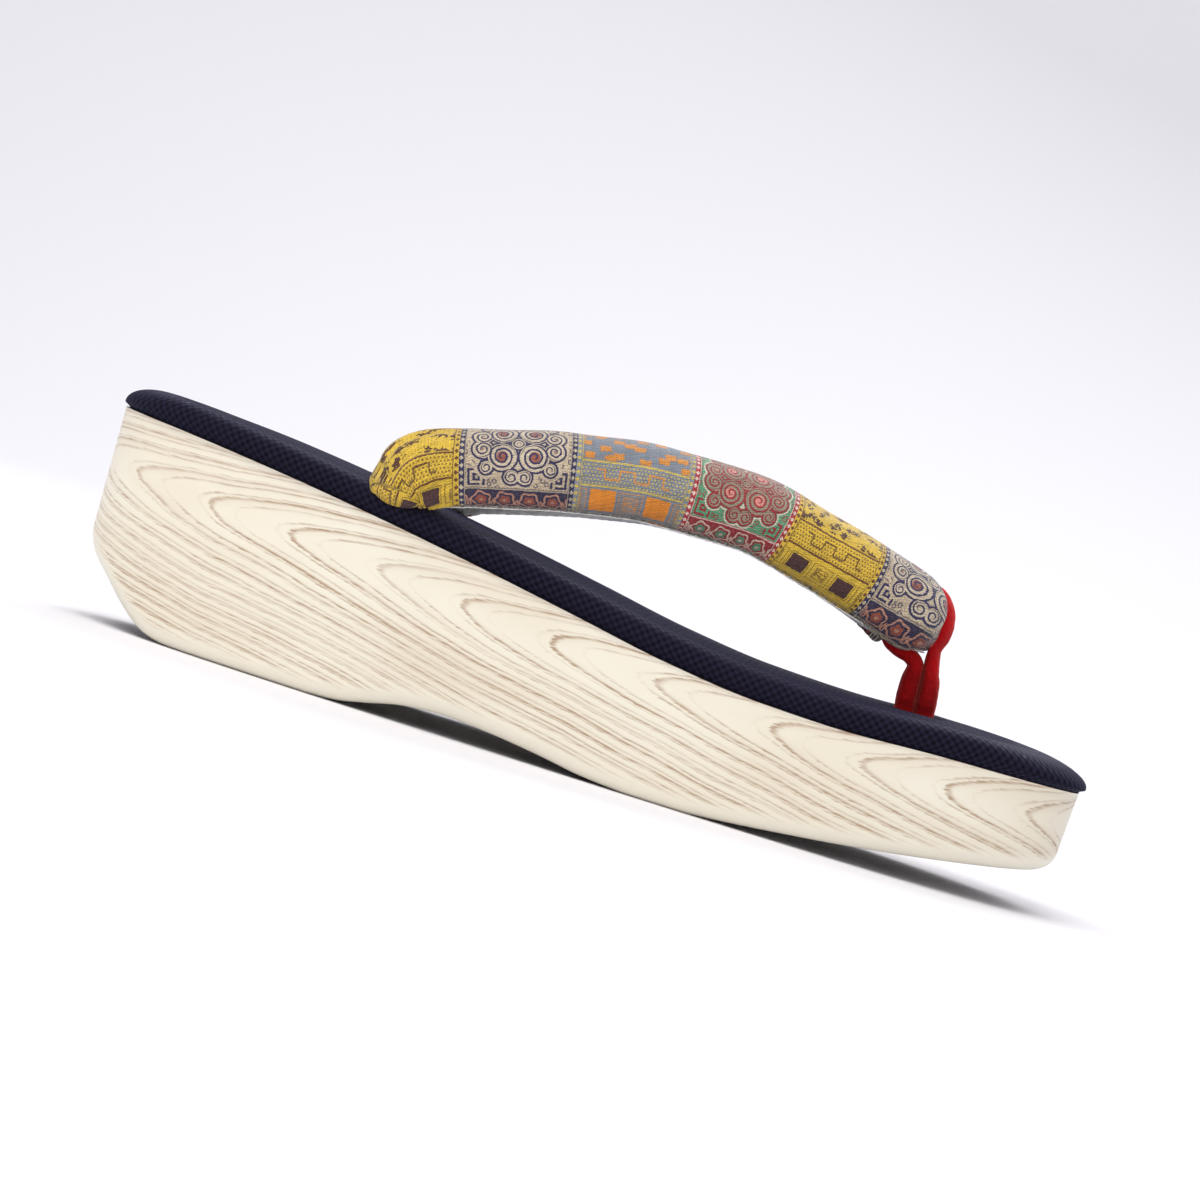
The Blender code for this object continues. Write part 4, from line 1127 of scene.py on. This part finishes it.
class ZORI_OT_felt(bpy.types.Operator):
    """Felt strip under the strap, whip stitched to the brocade along both edges"""

    bl_idname = "zori.felt"
    bl_label = "Felt strip and stitches"

    def execute(self, context):
        """A lens-shaped section along the strap with matted edges, and a small thread arch at each stitch."""
        look = context.scene.zori_look
        centre, side, up, w, h, run = strap_frames(390, root_rows()[:7])
        edge = strap_section(np.array([-seam_angle()]))[0][0] + FELT_OVERHANG
        turn = np.linspace(0, math.tau, 44, endpoint=False)
        wide, thick = superellipse(turn, 3.0)
        quiet = beside_thong(run)
        quiet = quiet * (1 - front_bulge(run)[:, None])
        ruffle = np.sin(math.tau * run / look.stitch_pitch)[:, None] * RUFFLE_HEIGHT * quiet
        fray = waves(run[:, None], turn * 0.004, 11, count=40, finest=0.0022) * 0.00014 * quiet
        top = -COVER_FOOT * h - 0.00006
        low = top - (FELT_DEPTH - COVER_FOOT) * h
        middle, half = (top + low) / 2, (top - low) / 2
        tucked = 1 - FRONT_FELT_TUCK * front_bulge(run)[:, None]
        across = (w[:, None] * edge * tucked + (ruffle + fray) * np.abs(wide)) * wide
        rise = middle[:, None] + half[:, None] * thick + fray * np.clip(-thick, 0, 1)
        grid = centre[:, None] + across[..., None] * side[:, None] + rise[..., None] * up[:, None]
        skin = Skin("cloth")
        skin.tube(grid, uv_of(run[:, None], np.linspace(0, 0.02, grid.shape[1] + 1)))
        felt = skin.piece("felt_strip", paint_felt(look))
        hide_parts("strap_lining")

        count = int((np.abs(run).max() - STITCH_FROM_FRONT - STITCH_FROM_ROOT) / look.stitch_pitch)
        spots = STITCH_FROM_FRONT + look.stitch_pitch * np.arange(count)
        spots = np.concatenate([-spots[::-1], spots])
        middle, side, up = [np.column_stack([np.interp(spots, run, array[:, k]) for k in range(3)])
                            for array in (centre, side, up)]
        w, h = [np.interp(spots, run, array)[:, None] for array in (w, h)]
        ahead = np.cross(side, up)
        stitches = Skin("cloth")
        arch = np.linspace(0, 1, 9)
        ply = np.linspace(0, math.tau, 7)[:-1]
        out = w * (edge + 0.02 - 0.08 * arch ** 2) + 0.00012 * np.sin(math.pi * arch)
        lift = -h * (COVER_FOOT - 0.05) - arch * (0.0001 + 0.10 * h)
        slant = (arch - 0.5) * 0.0009
        for hand in (1, -1):
            path = (middle[:, None] + hand * out[..., None] * side[:, None] + lift[..., None] * up[:, None]
                    + slant[:, None] * ahead[:, None])
            round_it = np.cos(ply)[:, None] * hand * side[:, None, None] + np.sin(ply)[:, None] * ahead[:, None, None]
            for stitch in path[:, :, None] + THREAD_RADIUS * round_it:
                stitches.tube(stitch, uv_of(arch[:, None], np.linspace(0, 1, 7)))
        piece = stitches.piece("whip_stitches", paint_thread(look))
        return {"FINISHED"}


class ZORI_OT_thong(bpy.types.Operator):
    """Front thong: folded velvet band looped over the strap and splayed on the pad"""

    bl_idname = "zori.thong"
    bl_label = "Velvet thong"

    def execute(self, context):
        """Superellipse sections along the band's path, with fold lines and nap as sums of waves."""
        (x, z, thickness, half), run = thong_path(320)
        strap_x = HEEL_X + STRAP_FRONT_FROM_HEEL
        strap_z = pad_top(strap_x) + STRAP_ARCH * STRAP[0][2]
        centre = np.column_stack([x, np.zeros(len(x)), z])
        tangent = np.gradient(centre, axis=0)
        tangent[0] = (0, 0, 1)
        tangent[-1] = (0, 0, -1)
        tangent /= np.linalg.norm(tangent, axis=1)[:, None]
        side = np.tile([0.0, 1.0, 0.0], (len(x), 1))
        normal = np.cross(side, tangent)
        angle = np.linspace(0, math.tau, 72, endpoint=False)
        wide, thick = superellipse(angle, 3.2)
        nap = waves(run[:, None], angle * 0.004, 13, count=40, finest=0.0016) * 0.00005
        fold = -0.10 * np.exp(-((wide - 0.12) / 0.16) ** 2) * np.clip(thick, 0, 1)
        across = half[:, None] * wide + nap * np.cos(angle)
        rise = thickness[:, None] / 2 * (thick + fold) + nap * np.clip(np.sin(angle), 0, 1)
        grid = centre[:, None] + across[..., None] * side[:, None] + rise[..., None] * normal[:, None]
        hug = eased((x - strap_x) / 0.006) * eased((z - strap_z + 0.0085) / 0.004)
        grid[..., 0] -= 0.0016 * hug[:, None] * (across / THONG_HALF_WIDTH) ** 2
        skin = Skin("cloth")
        skin.tube(grid, uv_of(run[:, None], np.linspace(0, 0.02, grid.shape[1] + 1)))
        piece = skin.piece("velvet_thong", paint_velvet(context.scene.zori_look))
        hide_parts("front_thong")
        return {"FINISHED"}


def facing(place, aim, upward):
    """The matrix of a camera or lamp at place that looks at aim."""
    back = np.array(place) - np.array(aim)
    back = back / np.linalg.norm(back)
    right = np.cross(upward, back)
    right /= np.linalg.norm(right)
    matrix = np.eye(4)
    matrix[:3, 0], matrix[:3, 1], matrix[:3, 2], matrix[:3, 3] = right, np.cross(back, right), back, place
    return Matrix(matrix.tolist())


class ZORI_OT_stage(bpy.types.Operator):
    """Plain pale floor that curves up behind, soft lights and the camera"""

    bl_idname = "zori.stage"
    bl_label = "Stage"

    def execute(self, context):
        """The floor is a flat stretch joined to an upright one by a quarter circle."""
        look = context.scene.zori_stage
        turn = np.linspace(0, math.pi / 2, 24)
        y = np.concatenate([[-3.0, 0.0], 0.9 + 0.6 * np.sin(turn), [1.5]])
        z = np.concatenate([[0.0, 0.0], 0.6 * (1 - np.cos(turn)), [4.0]])
        x = np.linspace(-4, 4, 9)
        grid = np.stack(np.broadcast_arrays(x[None, :], y[:, None], z[:, None]), axis=-1)
        rows, cols = grid.shape[:2]
        r, c = np.mgrid[0:rows - 1, 0:cols - 1]
        quads = np.stack([r * cols + c, r * cols + c + 1, (r + 1) * cols + c + 1, (r + 1) * cols + c], axis=-1)
        mesh = bpy.data.meshes.new("floor")
        mesh.from_pydata(grid.reshape(-1, 3).tolist(), [], quads.reshape(-1, 4).tolist())
        mesh.shade_smooth()
        mesh.materials.append(paint_floor(look))
        floor = bpy.data.objects.new("floor", mesh)
        context.scene.collection.objects.link(floor)

        world = bpy.data.worlds.new("soft_sky")
        world.use_nodes = True
        world.node_tree.nodes["Background"].inputs["Color"].default_value = (0.99, 0.99, 1.0, 1)
        world.node_tree.nodes["Background"].inputs["Strength"].default_value = look.sky
        context.scene.world = world
        self.light(context, "key", (-0.35, -0.55, 1.25), (0.0, 0.0, 0.03), 1.1, look.key, (1.0, 0.985, 0.96))
        self.light(context, "back", (0.25, 0.85, 0.95), (0.0, 0.0, 0.05), 0.9, look.key * 0.5, (0.98, 0.99, 1.0))
        self.light(context, "low", (0.2, -1.2, 0.16), (0.0, 0.0, 0.0), 0.8, look.key * 0.22, (1.0, 0.99, 0.97))

        data = bpy.data.cameras.new("camera")
        data.sensor_width = 36.0
        data.lens = look.lens
        data.clip_start = 0.01
        data.clip_end = 20
        camera = bpy.data.objects.new("camera", data)
        context.scene.collection.objects.link(camera)
        camera.matrix_world = facing(CAMERA_EYE, CAMERA_AIM, CAMERA_UP)
        context.scene.camera = camera
        context.scene.view_settings.view_transform = "Standard"
        return {"FINISHED"}

    def light(self, context, name, place, aim, size, watts, colour):
        """A square soft light at place that points at aim."""
        data = bpy.data.lights.new(name, "AREA")
        data.shape = "SQUARE"
        data.size = size
        data.energy = watts
        data.color = colour
        lamp = bpy.data.objects.new(name, data)
        context.scene.collection.objects.link(lamp)
        lamp.matrix_world = facing(place, aim, (0.0, 1.0, 0.0))


class ZORI_PT_panel(bpy.types.Panel):
    """Lists the sandal's settings and operators."""

    bl_idname = "ZORI_PT_panel"
    bl_label = "Zori sandal"
    bl_space_type = "VIEW_3D"
    bl_region_type = "UI"
    bl_category = "Zori"

    def draw(self, context):
        for group in (context.scene.zori_look, context.scene.zori_stage):
            for name in group.__annotations__:
                self.layout.prop(group, name)
        for operator in OPERATORS:
            self.layout.operator(operator.bl_idname)


GROUPS = (ZoriLook, ZoriStage)
OPERATORS = (ZORI_OT_block, ZORI_OT_pad, ZORI_OT_strap, ZORI_OT_felt, ZORI_OT_thong, ZORI_OT_stage)


def register():
    for each in (*GROUPS, *OPERATORS, ZORI_PT_panel):
        bpy.utils.register_class(each)
    bpy.types.Scene.zori_look = bpy.props.PointerProperty(type=ZoriLook)
    bpy.types.Scene.zori_stage = bpy.props.PointerProperty(type=ZoriStage)


def unregister():
    del bpy.types.Scene.zori_look
    del bpy.types.Scene.zori_stage
    for each in reversed((*GROUPS, *OPERATORS, ZORI_PT_panel)):
        bpy.utils.unregister_class(each)


def main():
    """Registers the add-on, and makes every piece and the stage."""
    register()
    bpy.ops.zori.block()
    bpy.ops.zori.pad()
    bpy.ops.zori.strap()
    bpy.ops.zori.felt()
    bpy.ops.zori.thong()
    bpy.ops.zori.stage()


if __name__ == "__main__":
    main()
